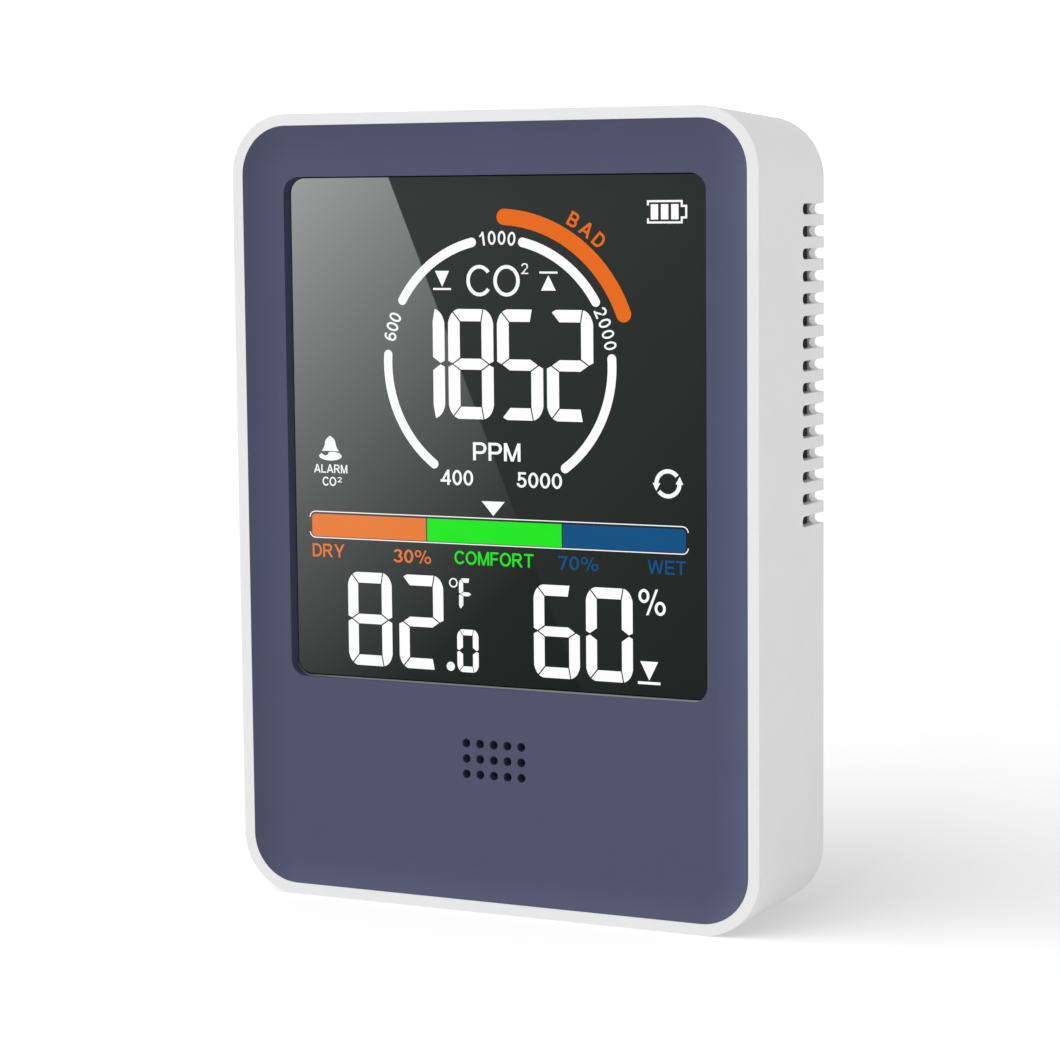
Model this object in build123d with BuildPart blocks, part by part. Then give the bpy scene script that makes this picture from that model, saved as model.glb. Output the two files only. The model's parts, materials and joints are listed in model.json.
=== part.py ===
from build123d import *
import os

# A desktop carbon dioxide, temperature and humidity monitor.
#
# Millimetres, +Z up. The front looks along -Y. The origin is in the middle of the footprint,
# on the surface that the monitor stands on. Places inside are given as a depth, measured
# backwards from the front rim, because the monitor is a stack of flat layers.

# Outer form: a flat upright tub, open at the front
BODY_WIDTH = 86.4
BODY_HEIGHT = 120.0
BODY_DEPTH = 26.0
BODY_CORNER = 9.2
BACK_DROP = 1.25
SIDE_WALL = 1.74
BACK_WALL = 2.35
BACK_EDGE_ROUND = 0.35
BACK_INSIDE = BODY_DEPTH - BACK_WALL
CAVITY_WIDTH = BODY_WIDTH - 2 * SIDE_WALL
CAVITY_HEIGHT = BODY_HEIGHT - 2 * SIDE_WALL
CAVITY_CORNER = BODY_CORNER - SIDE_WALL
MIDDLE = BODY_HEIGHT / 2
INSIDE_DROP = BACK_DROP * BACK_INSIDE / BODY_DEPTH

# Vent slots down both sides, open through the back edge
SLOT_COUNT = 15
SLOT_PITCH = 3.28
SLOT_WIDTH = 1.6
SLOT_LOWEST = 59.2
SLOT_FRONT = 17.15
SLOT_NOTCH = 1.52
SLOT_MIDDLE = SLOT_LOWEST + SLOT_PITCH * (SLOT_COUNT - 1) / 2
DUST_SCREEN_FRONT = 16.0
DUST_SCREEN_BACK = 23.4
DUST_SCREEN_THICKNESS = 0.25
DUST_SCREEN_MARGIN = 3.0

# Dished front fascia
SEAM = 0.05
FASCIA_BACK = 2.9
DISH_DEPTH = 0.9
COVE_WIDTH = 5.0
FASCIA_WIDTH = CAVITY_WIDTH - 2 * SEAM
FASCIA_HEIGHT = CAVITY_HEIGHT - 2 * SEAM
FASCIA_CORNER = CAVITY_CORNER - SEAM

# Display window and the pocket that holds it
WINDOW_WIDTH = 69.6
WINDOW_HEIGHT = 76.4
WINDOW_MIDDLE = 72.32
WINDOW_CORNER = 2.5
WINDOW_GAP = 0.08
WINDOW_BEVEL = 0.12
LENS_FRONT = 2.85
LENS_BACK = 4.4
LEDGE_FRONT = 4.6
LEDGE_BACK = 5.6
LEDGE_CORNER = 0.5
POCKET_WALL = 1.5
TAPE_EDGE = 0.4
TAPE_MARGIN = 0.5

# Liquid crystal display stack, front to back
GLASS_WIDTH = 66.0
FRONT_GLASS_HEIGHT = 73.0
REAR_GLASS_HEIGHT = 66.6
FILM_INSET = 0.4
FILM_THICKNESS = 0.2
GLASS_THICKNESS = 1.1
GLASS_FRONT = 4.65
GLASS_FIT = 0.2
GLASS_JOINT = GLASS_FRONT + GLASS_THICKNESS
REAR_GLASS_BACK = GLASS_JOINT + GLASS_THICKNESS
DIFFUSER_BACK = 7.3
GUIDE_BACK = 10.3
REFLECTOR_BACK = 10.5
FRAME_FRONT = 5.8
FRAME_BACK = 12.5
FRAME_WIDTH = 71.6
FRAME_HEIGHT = 76.0
FRAME_CORNER = 1.5
STACK_WIDTH = 66.4
STACK_HEIGHT = 67.0
STACK_CORNER = 0.5
STACK_BOTTOM = WINDOW_MIDDLE - STACK_HEIGHT / 2
STACK_TOP = WINDOW_MIDDLE + STACK_HEIGHT / 2
DIFFUSER_WIDTH = 64.6
DIFFUSER_HEIGHT = 65.8
GUIDE_WIDTH = 64.0
GUIDE_TOP_GAP = 0.4
GUIDE_LED_GAP = 0.2
LED_STRIP_HEIGHT = 0.8
LED_STRIP_INSET = 0.1
LED_COUNT = 5
LED_PITCH = 12.0
LED_WIDTH = 3.0
LED_HEIGHT = 0.9
LED_INSET = 0.4
CONTACT_OFFSET = 35.12
CONTACT_LENGTH = 60.0
CONTACT_WIDTH = 2.0
CONTACT_END_FIT = 0.2
CONTACT_SIDE_FIT = 0.1
PEG_SPREAD = 68.4
PEG_RADIUS = 0.8
PEG_FIT = 0.1

# Sound grille and buzzer
GRILLE_MIDDLE = 23.25
GRILLE_COLUMNS = 5
GRILLE_ROWS = 3
GRILLE_PITCH_X = 2.3
GRILLE_PITCH_Z = 2.35
GRILLE_RADIUS = 0.675
MESH_BACK = 3.1
MESH_RADIUS = 8.2
GASKET_BACK = 8.1
GASKET_RADIUS = 8.0
GASKET_CLEARANCE = 0.3
BUZZER_RADIUS = 6.0
BUZZER_FRONT = 4.2
BUZZER_WALL = 0.8
BUZZER_EDGE_ROUND = 0.3
BUZZER_SOUND_HOLE = 1.0
BUZZER_BASE_THICKNESS = 1.0
BUZZER_STUB_RADIUS = 1.5
BUZZER_STUB_LENGTH = 3.0
BUZZER_DISC_BACK = 6.4
BUZZER_DISC_THICKNESS = 0.2
BUZZER_DISC_GAP = 0.1

# Circuit board and its screws
PCB_FRONT = 12.6
PCB_BACK = 14.2
PCB_WIDTH = 81.2
PCB_HEIGHT = 101.0
PCB_CORNER = 2.0
PCB_SCREW_HOLE = 1.1
PCB_SCREW_HEAD = 1.8
PCB_SCREW_HEAD_HEIGHT = 1.2
PCB_SCREW_LENGTH = 6.0
STANDOFF_SPREAD_X = 76.8
STANDOFF_SPREAD_Z = 72.0
STANDOFF_RADIUS = 2.2
STANDOFF_PILOT = 0.8
STANDOFF_PILOT_LENGTH = 5.0
PEG_BACK = PCB_BACK - 0.2

# Components on the back of the circuit board
MCU_X = -8.0
MCU_Z = 82.0
MCU_SIZE = 10.0
MCU_HEIGHT = 1.4
MCU_STANDS_OFF = 0.15
MCU_EDGE = 0.2
MCU_LEAD_ROW = 11
MCU_LEAD_PITCH = 0.8
MCU_LEAD_WIDTH = 0.35
MCU_LEAD_LENGTH = 1.2
MCU_LEAD_SPREAD = 11.0
MCU_LEAD_HEIGHT = 0.3
CAPACITOR_WIDTH = 0.8
CAPACITOR_LENGTH = 1.6
CAPACITOR_HEIGHT = 0.8
CAPACITOR_ROW = 6
CAPACITOR_PITCH = 3.0
CAPACITOR_OFFSET = 8.5
RESISTOR_WIDTH = 2.0
RESISTOR_LENGTH = 1.2
RESISTOR_PITCH = 4.0
RESISTOR_X = -27.0
COIL_SIZE = 4.0
COIL_HEIGHT = 2.2
COIL_Z = 64.0
COIL_PLACES = (-33.0, -26.0, 8.0)
CHARGER_SIZE = 3.0
CHARGER_X = -34.0
CHARGER_Z = 44.0
HUMIDITY_X = 38.0
HUMIDITY_Z = 60.0
HUMIDITY_SIZE = 2.5
HUMIDITY_HEIGHT = 0.9
HUMIDITY_HOLE = 0.5
HUMIDITY_HOLE_DEPTH = 0.3

# Housing screws, their bosses behind and their posts in front
SCREW_SPREAD_X = 74.0
SCREW_SPREAD_Z = 107.0
POST_RADIUS = 2.7
POST_BACK = 15.2
POST_PILOT = 1.05
POST_PILOT_FRONT = 6.0
BOSS_RADIUS = 4.0
SCREW_SEAT = 19.0
SCREW_HOLE = 1.3
SCREW_RECESS = 2.6
SCREW_HEAD = 2.3
SCREW_HEAD_HEIGHT = 1.8
SCREW_LENGTH = 12.0

# Carbon dioxide sensor module
SENSOR_X = 27.0
SENSOR_Z = 78.5
SENSOR_WIDTH = 20.0
SENSOR_HEIGHT = 33.0
SENSOR_BOARD_FRONT = 16.2
SENSOR_BOARD_BACK = 17.4
SENSOR_BOARD_CORNER = 0.8
CHAMBER_BACK = 22.4
CHAMBER_WIDTH = 18.0
CHAMBER_HEIGHT = 24.0
CHAMBER_CORNER = 1.5
CHAMBER_EDGE_ROUND = 0.8
FILTER_SPREAD_X = 8.0
FILTER_SPREAD_Z = 12.0
FILTER_RADIUS = 2.1
FILTER_FIT = 0.1
FILTER_SEAT = 0.4
FILTER_SUNK = 0.1
FILTER_THICKNESS = 0.3
PIN_PITCH = 2.54
PIN_ROW_SPREAD = 29.4
PINS_PER_ROW = 5
PIN_RADIUS = 0.32
PIN_HOLE = 0.35
PIN_TAIL = 0.8
HEADER_WIDTH = 2.5

# Battery, its leads and its connector
CELL_WIDTH = 60.0
CELL_HEIGHT = 38.0
CELL_BOTTOM = 12.0
CELL_FRONT = 17.0
CELL_BACK = 23.1
CELL_CORNER = 1.5
CELL_EDGE_ROUND = 1.0
CELL_TAPE_WIDTH = 18.0
CELL_TAPE_HEIGHT = 30.0
CELL_TAPE_SPREAD = 30.0
LEAD_RADIUS = 0.55
LEAD_BEND = 5.0
LEAD_END = 3.5
LEAD_DEPTH_AT_CELL = 20.1
LEAD_DEPTH_AT_PLUG = 16.6
LEAD_SPACING = 2.5
PLUG_X = -12.0
PLUG_BOTTOM = 62.0
PLUG_HEIGHT = 6.8
PLUG_WIDTH = 6.4
PLUG_THICKNESS = 3.2
PLUG_EDGE = 0.3
SOCKET_BOTTOM = 64.0
SOCKET_HEIGHT = 6.0
SOCKET_WIDTH = 8.0
SOCKET_THICKNESS = 4.8
SOCKET_FLOOR = 1.0
SOCKET_FIT = 0.1

# Charging port in the left wall, a standard USB-C receptacle lying on the board
PORT_Z = 30.0
PORT_WIDTH = 8.94
PORT_HEIGHT = 3.26
PORT_WALL = 0.3
PORT_LENGTH = 7.3
PORT_MOUTH = 0.6
PORT_CLEARANCE = 0.3
PORT_END_WALL = 0.8
TONGUE_THICKNESS = 0.7
TONGUE_WIDTH = 6.7
TONGUE_INSET = 1.0
PORT_DEPTH = PCB_BACK + PORT_HEIGHT / 2

# Push buttons in a shallow recess near the top of the back
BUTTON_NAMES = ("left", "middle", "right")
BUTTON_PITCH = 16.0
BUTTON_Z = 100.0
BUTTON_RADIUS = 3.9
BUTTON_FIT = 0.1
BUTTON_FLANGE_RADIUS = 5.0
BUTTON_FLANGE_FRONT = 22.3
BUTTON_FLANGE_BACK = 23.5
BUTTON_BACK = 25.75
BUTTON_EDGE_ROUND = 0.4
RECESS_WIDTH = 50.0
RECESS_HEIGHT = 13.0
RECESS_DEPTH = 0.8
SWITCH_SIZE = 6.0
SWITCH_CORNER = 0.4
SWITCH_BACK = 17.7
SWITCH_COVER = 0.3
SWITCH_CHAMBER_FRONT = 15.9
SWITCH_CHAMBER_RADIUS = 2.5
SWITCH_CHAMBER_FIT = 0.1
PLUNGER_RADIUS = 1.75
PLUNGER_FIT = 0.05
PLUNGER_FOOT_RADIUS = 2.3
PLUNGER_FOOT_FRONT = 16.9
PLUNGER_FOOT_BACK = 17.5
DOME_CROWN = 16.5
DOME_THICKNESS = 0.1

# Blank rating label in its own shallow recess
LABEL_WIDTH = 44.0
LABEL_HEIGHT = 22.0
LABEL_CORNER = 1.0
LABEL_FIT = 0.2
LABEL_Z = 42.0
LABEL_RECESS = 0.15
LABEL_THICKNESS = 0.12

PAST = 1.0


def at_depth(depth):
    """The upright plane this far behind the front rim, facing the front."""
    return Plane.front.offset(BODY_DEPTH / 2 - depth)


def save(piece, label):
    """Name a finished piece and write it to its own file."""
    piece.part.label = label
    export_step(piece.part, f"parts/{label}.step")


def layer(label, width, height, front, back, corner=0.3, middle=WINDOW_MIDDLE):
    """A flat sheet of the display stack, from its front depth to its back depth."""
    with BuildPart() as sheet:
        with BuildSketch(at_depth(back)):
            with Locations((0, middle)):
                RectangleRounded(width, height, corner)
        extrude(amount=back - front)
    save(sheet, label)


def screws(label, spread_x, spread_z, middle, seat, head_radius, head_height, shank_radius, length):
    """Four equal pan head screws driven from behind, with their heads on the seat depth."""
    tip_chamfer = 0.3
    head_round = 0.4 * head_height
    recess_length = 1.3 * head_radius
    recess_width = 0.35 * head_radius
    recess_depth = 0.6 * head_height
    with BuildPart() as screw:
        with BuildSketch(at_depth(seat + head_height)):
            with Locations((0, middle)):
                with GridLocations(spread_x, spread_z, 2, 2):
                    Circle(head_radius)
        extrude(amount=head_height)
        fillet(screw.edges().group_by(Axis.Y)[-1], head_round)
        with BuildSketch(at_depth(seat)):
            with Locations((0, middle)):
                with GridLocations(spread_x, spread_z, 2, 2):
                    Circle(shank_radius)
        extrude(amount=length)
        chamfer(screw.edges().group_by(Axis.Y)[0], tip_chamfer)
        with BuildSketch(at_depth(seat + head_height)):
            with Locations((0, middle)):
                with GridLocations(spread_x, spread_z, 2, 2):
                    Rectangle(recess_length, recess_width)
                    Rectangle(recess_width, recess_length)
        extrude(amount=recess_depth, mode=Mode.SUBTRACT)
    save(screw, label)


os.makedirs("parts", exist_ok=True)


# ---------------------------------------------------------------- rear shell
# The top falls a little towards the back; the foot and the sides are square to the front
with BuildPart() as rear_shell:
    with BuildSketch(at_depth(0)):
        with Locations((0, MIDDLE)):
            RectangleRounded(BODY_WIDTH, BODY_HEIGHT, BODY_CORNER)
    with BuildSketch(at_depth(BODY_DEPTH)):
        with Locations((0, MIDDLE - BACK_DROP / 2)):
            RectangleRounded(BODY_WIDTH, BODY_HEIGHT - BACK_DROP, BODY_CORNER)
    loft(ruled=True)
    fillet(rear_shell.edges().group_by(Axis.Y)[-1], BACK_EDGE_ROUND)

    # The cavity is straight where the fascia fits it, and behind that it follows the outside
    with BuildSketch(at_depth(FASCIA_BACK)):
        with Locations((0, MIDDLE)):
            RectangleRounded(CAVITY_WIDTH, CAVITY_HEIGHT, CAVITY_CORNER)
    extrude(amount=FASCIA_BACK, mode=Mode.SUBTRACT)
    with BuildSketch(at_depth(FASCIA_BACK)):
        with Locations((0, MIDDLE)):
            RectangleRounded(CAVITY_WIDTH, CAVITY_HEIGHT, CAVITY_CORNER)
    with BuildSketch(at_depth(BACK_INSIDE)):
        with Locations((0, MIDDLE - INSIDE_DROP / 2)):
            RectangleRounded(CAVITY_WIDTH, CAVITY_HEIGHT - INSIDE_DROP, CAVITY_CORNER)
    loft(ruled=True, mode=Mode.SUBTRACT)

    # Screw bosses in the four corners, then their stepped holes from behind
    with BuildSketch(at_depth(BACK_INSIDE)):
        with Locations((0, MIDDLE)):
            with GridLocations(SCREW_SPREAD_X, SCREW_SPREAD_Z, 2, 2):
                Circle(BOSS_RADIUS)
    extrude(amount=BACK_INSIDE - POST_BACK)
    with Locations(Plane.back.offset(BODY_DEPTH / 2)):
        with Locations((0, MIDDLE)):
            with GridLocations(SCREW_SPREAD_X, SCREW_SPREAD_Z, 2, 2):
                CounterBoreHole(SCREW_HOLE, SCREW_RECESS, BODY_DEPTH - SCREW_SEAT)

    # Vent slots: through each side wall with a rounded front end ...
    for wall_x in (-BODY_WIDTH / 2 - PAST, BODY_WIDTH / 2 - SIDE_WALL - PAST / 2):
        with BuildSketch(Plane.right.offset(wall_x)):
            with Locations((SLOT_FRONT + SLOT_WIDTH / 2 - BODY_DEPTH / 2, SLOT_MIDDLE)):
                with GridLocations(SLOT_PITCH, SLOT_PITCH, 1, SLOT_COUNT):
                    Circle(SLOT_WIDTH / 2)
                    Rectangle(
                        BACK_INSIDE - SLOT_FRONT - SLOT_WIDTH / 2,
                        SLOT_WIDTH,
                        align=(Align.MIN, Align.CENTER),
                    )
        extrude(amount=SIDE_WALL + 1.5 * PAST, mode=Mode.SUBTRACT)
    # ... and on through the back wall as notches with rounded inner ends
    with BuildSketch(at_depth(BODY_DEPTH + PAST)):
        with Locations((0, SLOT_MIDDLE)):
            with GridLocations(BODY_WIDTH + SLOT_WIDTH, SLOT_PITCH, 2, SLOT_COUNT):
                SlotOverall(2 * SLOT_NOTCH + SLOT_WIDTH, SLOT_WIDTH)
    extrude(amount=BACK_WALL + PAST, mode=Mode.SUBTRACT)

    # Charging port opening in the left wall
    with BuildSketch(Plane.right.offset(-BODY_WIDTH / 2 - PAST)):
        with Locations((PORT_DEPTH - BODY_DEPTH / 2, PORT_Z)):
            SlotOverall(
                PORT_WIDTH + 2 * PORT_CLEARANCE,
                PORT_HEIGHT + 2 * PORT_CLEARANCE,
                rotation=90,
            )
    extrude(amount=SIDE_WALL + 1.5 * PAST, mode=Mode.SUBTRACT)

    # Button recess and button holes
    with BuildSketch(at_depth(BODY_DEPTH)):
        with Locations((0, BUTTON_Z)):
            SlotOverall(RECESS_WIDTH, RECESS_HEIGHT)
    extrude(amount=RECESS_DEPTH, mode=Mode.SUBTRACT)
    with BuildSketch(at_depth(BODY_DEPTH)):
        with Locations((0, BUTTON_Z)):
            with GridLocations(BUTTON_PITCH, BUTTON_PITCH, len(BUTTON_NAMES), 1):
                Circle(BUTTON_RADIUS + BUTTON_FIT)
    extrude(amount=BACK_WALL + PAST, mode=Mode.SUBTRACT)

    # Label recess
    with BuildSketch(at_depth(BODY_DEPTH)):
        with Locations((0, LABEL_Z)):
            RectangleRounded(
                LABEL_WIDTH + 2 * LABEL_FIT,
                LABEL_HEIGHT + 2 * LABEL_FIT,
                LABEL_CORNER + LABEL_FIT,
            )
    extrude(amount=LABEL_RECESS, mode=Mode.SUBTRACT)
save(rear_shell, "rear_shell")


# ---------------------------------------------------------------- front fascia
# The cove is cut by a profile swept round half of the outline and mirrored to the other half
fascia_foot = MIDDLE - FASCIA_HEIGHT / 2
fascia_head = MIDDLE + FASCIA_HEIGHT / 2
front_y = -BODY_DEPTH / 2
cove_radius = (COVE_WIDTH**2 + DISH_DEPTH**2) / (2 * DISH_DEPTH)
with BuildPart() as cove_cut:
    with BuildLine(at_depth(0)) as half_outline:
        FilletPolyline(
            (0, fascia_foot),
            (FASCIA_WIDTH / 2, fascia_foot),
            (FASCIA_WIDTH / 2, fascia_head),
            (0, fascia_head),
            radius=FASCIA_CORNER,
        )
    with BuildSketch(Plane.YZ):
        with BuildLine():
            cove = RadiusArc(
                (front_y, fascia_foot),
                (front_y + DISH_DEPTH, fascia_foot + COVE_WIDTH),
                -cove_radius,
            )
            Polyline(
                cove @ 1,
                (front_y - PAST, fascia_foot + COVE_WIDTH),
                (front_y - PAST, fascia_foot),
                cove @ 0,
            )
        make_face()
    sweep(path=half_outline.line)
    mirror(about=Plane.YZ)

with BuildPart() as front_fascia:
    with BuildSketch(at_depth(FASCIA_BACK)):
        with Locations((0, MIDDLE)):
            RectangleRounded(FASCIA_WIDTH, FASCIA_HEIGHT, FASCIA_CORNER)
    extrude(amount=FASCIA_BACK)

    # The dish: a flat field, and a cove that rises around it to the rim
    with BuildSketch(at_depth(DISH_DEPTH)):
        with Locations((0, MIDDLE)):
            RectangleRounded(
                FASCIA_WIDTH - 2 * COVE_WIDTH,
                FASCIA_HEIGHT - 2 * COVE_WIDTH,
                FASCIA_CORNER - COVE_WIDTH,
            )
    extrude(amount=DISH_DEPTH + PAST, mode=Mode.SUBTRACT)
    add(cove_cut.part, mode=Mode.SUBTRACT)

    # Pocket wall behind the plate, screw posts and board standoffs
    with BuildSketch(at_depth(LEDGE_BACK)):
        with Locations((0, WINDOW_MIDDLE)):
            RectangleRounded(
                WINDOW_WIDTH + 2 * POCKET_WALL,
                WINDOW_HEIGHT + 2 * POCKET_WALL,
                WINDOW_CORNER + POCKET_WALL,
            )
    extrude(amount=LEDGE_BACK - FASCIA_BACK)
    with BuildSketch(at_depth(POST_BACK)):
        with Locations((0, MIDDLE)):
            with GridLocations(SCREW_SPREAD_X, SCREW_SPREAD_Z, 2, 2):
                Circle(POST_RADIUS)
    extrude(amount=POST_BACK - FASCIA_BACK)
    with BuildSketch(at_depth(PCB_FRONT)):
        with Locations((0, MIDDLE)):
            with GridLocations(STANDOFF_SPREAD_X, STANDOFF_SPREAD_Z, 2, 2):
                Circle(STANDOFF_RADIUS)
    extrude(amount=PCB_FRONT - FASCIA_BACK)

    # Window opening, with the ledge that the window is glued to
    with BuildSketch(at_depth(LEDGE_FRONT)):
        with Locations((0, WINDOW_MIDDLE)):
            RectangleRounded(WINDOW_WIDTH, WINDOW_HEIGHT, WINDOW_CORNER)
    extrude(amount=LEDGE_FRONT + PAST, mode=Mode.SUBTRACT)
    with BuildSketch(at_depth(LEDGE_BACK)):
        with Locations((0, WINDOW_MIDDLE)):
            RectangleRounded(
                GLASS_WIDTH + 2 * GLASS_FIT,
                FRONT_GLASS_HEIGHT + 2 * GLASS_FIT,
                LEDGE_CORNER,
            )
    extrude(amount=LEDGE_BACK - LEDGE_FRONT, mode=Mode.SUBTRACT)

    # Pilot holes for the screws
    with BuildSketch(at_depth(POST_BACK)):
        with Locations((0, MIDDLE)):
            with GridLocations(SCREW_SPREAD_X, SCREW_SPREAD_Z, 2, 2):
                Circle(POST_PILOT)
    extrude(amount=POST_BACK - POST_PILOT_FRONT, mode=Mode.SUBTRACT)
    with BuildSketch(at_depth(PCB_FRONT)):
        with Locations((0, MIDDLE)):
            with GridLocations(STANDOFF_SPREAD_X, STANDOFF_SPREAD_Z, 2, 2):
                Circle(STANDOFF_PILOT)
    extrude(amount=STANDOFF_PILOT_LENGTH, mode=Mode.SUBTRACT)

    # Sound grille
    with BuildSketch(at_depth(FASCIA_BACK)):
        with Locations((0, GRILLE_MIDDLE)):
            with GridLocations(GRILLE_PITCH_X, GRILLE_PITCH_Z, GRILLE_COLUMNS, GRILLE_ROWS):
                Circle(GRILLE_RADIUS)
    extrude(amount=FASCIA_BACK, mode=Mode.SUBTRACT)
save(front_fascia, "front_fascia")


# ---------------------------------------------------------------- window and display stack
with BuildPart() as display_window:
    with BuildSketch(at_depth(LENS_BACK)):
        with Locations((0, WINDOW_MIDDLE)):
            RectangleRounded(
                WINDOW_WIDTH - 2 * WINDOW_GAP,
                WINDOW_HEIGHT - 2 * WINDOW_GAP,
                WINDOW_CORNER - WINDOW_GAP,
            )
    extrude(amount=LENS_BACK - LENS_FRONT)
    chamfer(display_window.edges().group_by(Axis.Y)[0], WINDOW_BEVEL)
save(display_window, "display_window")

with BuildPart() as window_tape:
    with BuildSketch(at_depth(LEDGE_FRONT)):
        with Locations((0, WINDOW_MIDDLE)):
            RectangleRounded(
                WINDOW_WIDTH - 2 * TAPE_EDGE,
                WINDOW_HEIGHT - 2 * TAPE_EDGE,
                WINDOW_CORNER - TAPE_EDGE,
            )
            RectangleRounded(
                GLASS_WIDTH + 2 * TAPE_MARGIN,
                FRONT_GLASS_HEIGHT + 2 * TAPE_MARGIN,
                LEDGE_CORNER,
                mode=Mode.SUBTRACT,
            )
    extrude(amount=LEDGE_FRONT - LENS_BACK)
save(window_tape, "window_tape")

layer(
    "lcd_front_polariser",
    GLASS_WIDTH - FILM_INSET,
    FRONT_GLASS_HEIGHT - FILM_INSET,
    GLASS_FRONT - FILM_THICKNESS,
    GLASS_FRONT,
)
layer("lcd_front_glass", GLASS_WIDTH, FRONT_GLASS_HEIGHT, GLASS_FRONT, GLASS_JOINT)
layer("lcd_rear_glass", GLASS_WIDTH, REAR_GLASS_HEIGHT, GLASS_JOINT, REAR_GLASS_BACK)
layer(
    "lcd_rear_polariser",
    GLASS_WIDTH - FILM_INSET,
    REAR_GLASS_HEIGHT - FILM_INSET,
    REAR_GLASS_BACK,
    REAR_GLASS_BACK + FILM_THICKNESS,
)
layer(
    "backlight_diffuser",
    DIFFUSER_WIDTH,
    DIFFUSER_HEIGHT,
    DIFFUSER_BACK - FILM_THICKNESS,
    DIFFUSER_BACK,
)
layer(
    "backlight_reflector",
    DIFFUSER_WIDTH,
    DIFFUSER_HEIGHT,
    GUIDE_BACK,
    REFLECTOR_BACK,
)

# The light guide stops short of the lamps along its lower edge
guide_bottom = STACK_BOTTOM + LED_STRIP_HEIGHT + LED_HEIGHT + GUIDE_LED_GAP
guide_top = STACK_TOP - GUIDE_TOP_GAP
layer(
    "backlight_light_guide",
    GUIDE_WIDTH,
    guide_top - guide_bottom,
    DIFFUSER_BACK,
    GUIDE_BACK,
    middle=(guide_top + guide_bottom) / 2,
)
layer(
    "backlight_led_strip",
    GUIDE_WIDTH,
    LED_STRIP_HEIGHT,
    DIFFUSER_BACK + LED_STRIP_INSET,
    GUIDE_BACK - LED_STRIP_INSET,
    corner=0.1,
    middle=STACK_BOTTOM + LED_STRIP_HEIGHT / 2,
)

with BuildPart() as backlight_leds:
    with BuildSketch(at_depth(GUIDE_BACK - LED_INSET)):
        with Locations((0, STACK_BOTTOM + LED_STRIP_HEIGHT + LED_HEIGHT / 2)):
            with GridLocations(LED_PITCH, LED_PITCH, LED_COUNT, 1):
                Rectangle(LED_WIDTH, LED_HEIGHT)
    extrude(amount=GUIDE_BACK - DIFFUSER_BACK - 2 * LED_INSET)
save(backlight_leds, "backlight_leds")

with BuildPart() as backlight_frame:
    with BuildSketch(at_depth(FRAME_BACK)):
        with Locations((0, WINDOW_MIDDLE)):
            RectangleRounded(FRAME_WIDTH, FRAME_HEIGHT, FRAME_CORNER)
    extrude(amount=FRAME_BACK - FRAME_FRONT)
    with BuildSketch(at_depth(REFLECTOR_BACK)):
        with Locations((0, WINDOW_MIDDLE)):
            RectangleRounded(STACK_WIDTH, STACK_HEIGHT, STACK_CORNER)
    extrude(amount=REFLECTOR_BACK - FRAME_FRONT, mode=Mode.SUBTRACT)
    with BuildSketch(at_depth(FRAME_BACK)):
        with Locations((0, WINDOW_MIDDLE)):
            with GridLocations(CONTACT_LENGTH, 2 * CONTACT_OFFSET, 1, 2):
                Rectangle(
                    CONTACT_LENGTH + 2 * CONTACT_END_FIT,
                    CONTACT_WIDTH + 2 * CONTACT_SIDE_FIT,
                )
    extrude(amount=FRAME_BACK - FRAME_FRONT, mode=Mode.SUBTRACT)
    with BuildSketch(at_depth(PEG_BACK)):
        with Locations((0, WINDOW_MIDDLE)):
            with GridLocations(PEG_SPREAD, 2 * CONTACT_OFFSET, 2, 2):
                Circle(PEG_RADIUS)
    extrude(amount=PEG_BACK - FRAME_BACK)
save(backlight_frame, "backlight_frame")

with BuildPart() as lcd_contact_strips:
    with BuildSketch(at_depth(PCB_FRONT)):
        with Locations((0, WINDOW_MIDDLE)):
            with GridLocations(CONTACT_LENGTH, 2 * CONTACT_OFFSET, 1, 2):
                Rectangle(CONTACT_LENGTH, CONTACT_WIDTH)
    extrude(amount=PCB_FRONT - GLASS_JOINT)
save(lcd_contact_strips, "lcd_contact_strips")


# ---------------------------------------------------------------- circuit board
with BuildPart() as main_pcb:
    with BuildSketch(at_depth(PCB_BACK)):
        with Locations((0, MIDDLE)):
            RectangleRounded(PCB_WIDTH, PCB_HEIGHT, PCB_CORNER)
            with GridLocations(STANDOFF_SPREAD_X, STANDOFF_SPREAD_Z, 2, 2):
                Circle(PCB_SCREW_HOLE, mode=Mode.SUBTRACT)
        with Locations((0, WINDOW_MIDDLE)):
            with GridLocations(PEG_SPREAD, 2 * CONTACT_OFFSET, 2, 2):
                Circle(PEG_RADIUS + PEG_FIT, mode=Mode.SUBTRACT)
        with Locations((SENSOR_X, SENSOR_Z)):
            with GridLocations(PIN_PITCH, PIN_ROW_SPREAD, PINS_PER_ROW, 2):
                Circle(PIN_HOLE, mode=Mode.SUBTRACT)
    extrude(amount=PCB_BACK - PCB_FRONT)
save(main_pcb, "main_pcb")

with BuildPart() as mcu_chip:
    with BuildSketch(at_depth(PCB_BACK + MCU_HEIGHT)):
        with Locations((MCU_X, MCU_Z)):
            Rectangle(MCU_SIZE, MCU_SIZE)
    extrude(amount=MCU_HEIGHT - MCU_STANDS_OFF)
    chamfer(mcu_chip.edges().group_by(Axis.Y)[-1], MCU_EDGE)
    with BuildSketch(at_depth(PCB_BACK + MCU_LEAD_HEIGHT)):
        with Locations((MCU_X, MCU_Z)):
            with GridLocations(MCU_LEAD_PITCH, MCU_LEAD_SPREAD, MCU_LEAD_ROW, 2):
                Rectangle(MCU_LEAD_WIDTH, MCU_LEAD_LENGTH)
            with GridLocations(MCU_LEAD_SPREAD, MCU_LEAD_PITCH, 2, MCU_LEAD_ROW):
                Rectangle(MCU_LEAD_LENGTH, MCU_LEAD_WIDTH)
    extrude(amount=MCU_LEAD_HEIGHT)
save(mcu_chip, "mcu_chip")

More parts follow.
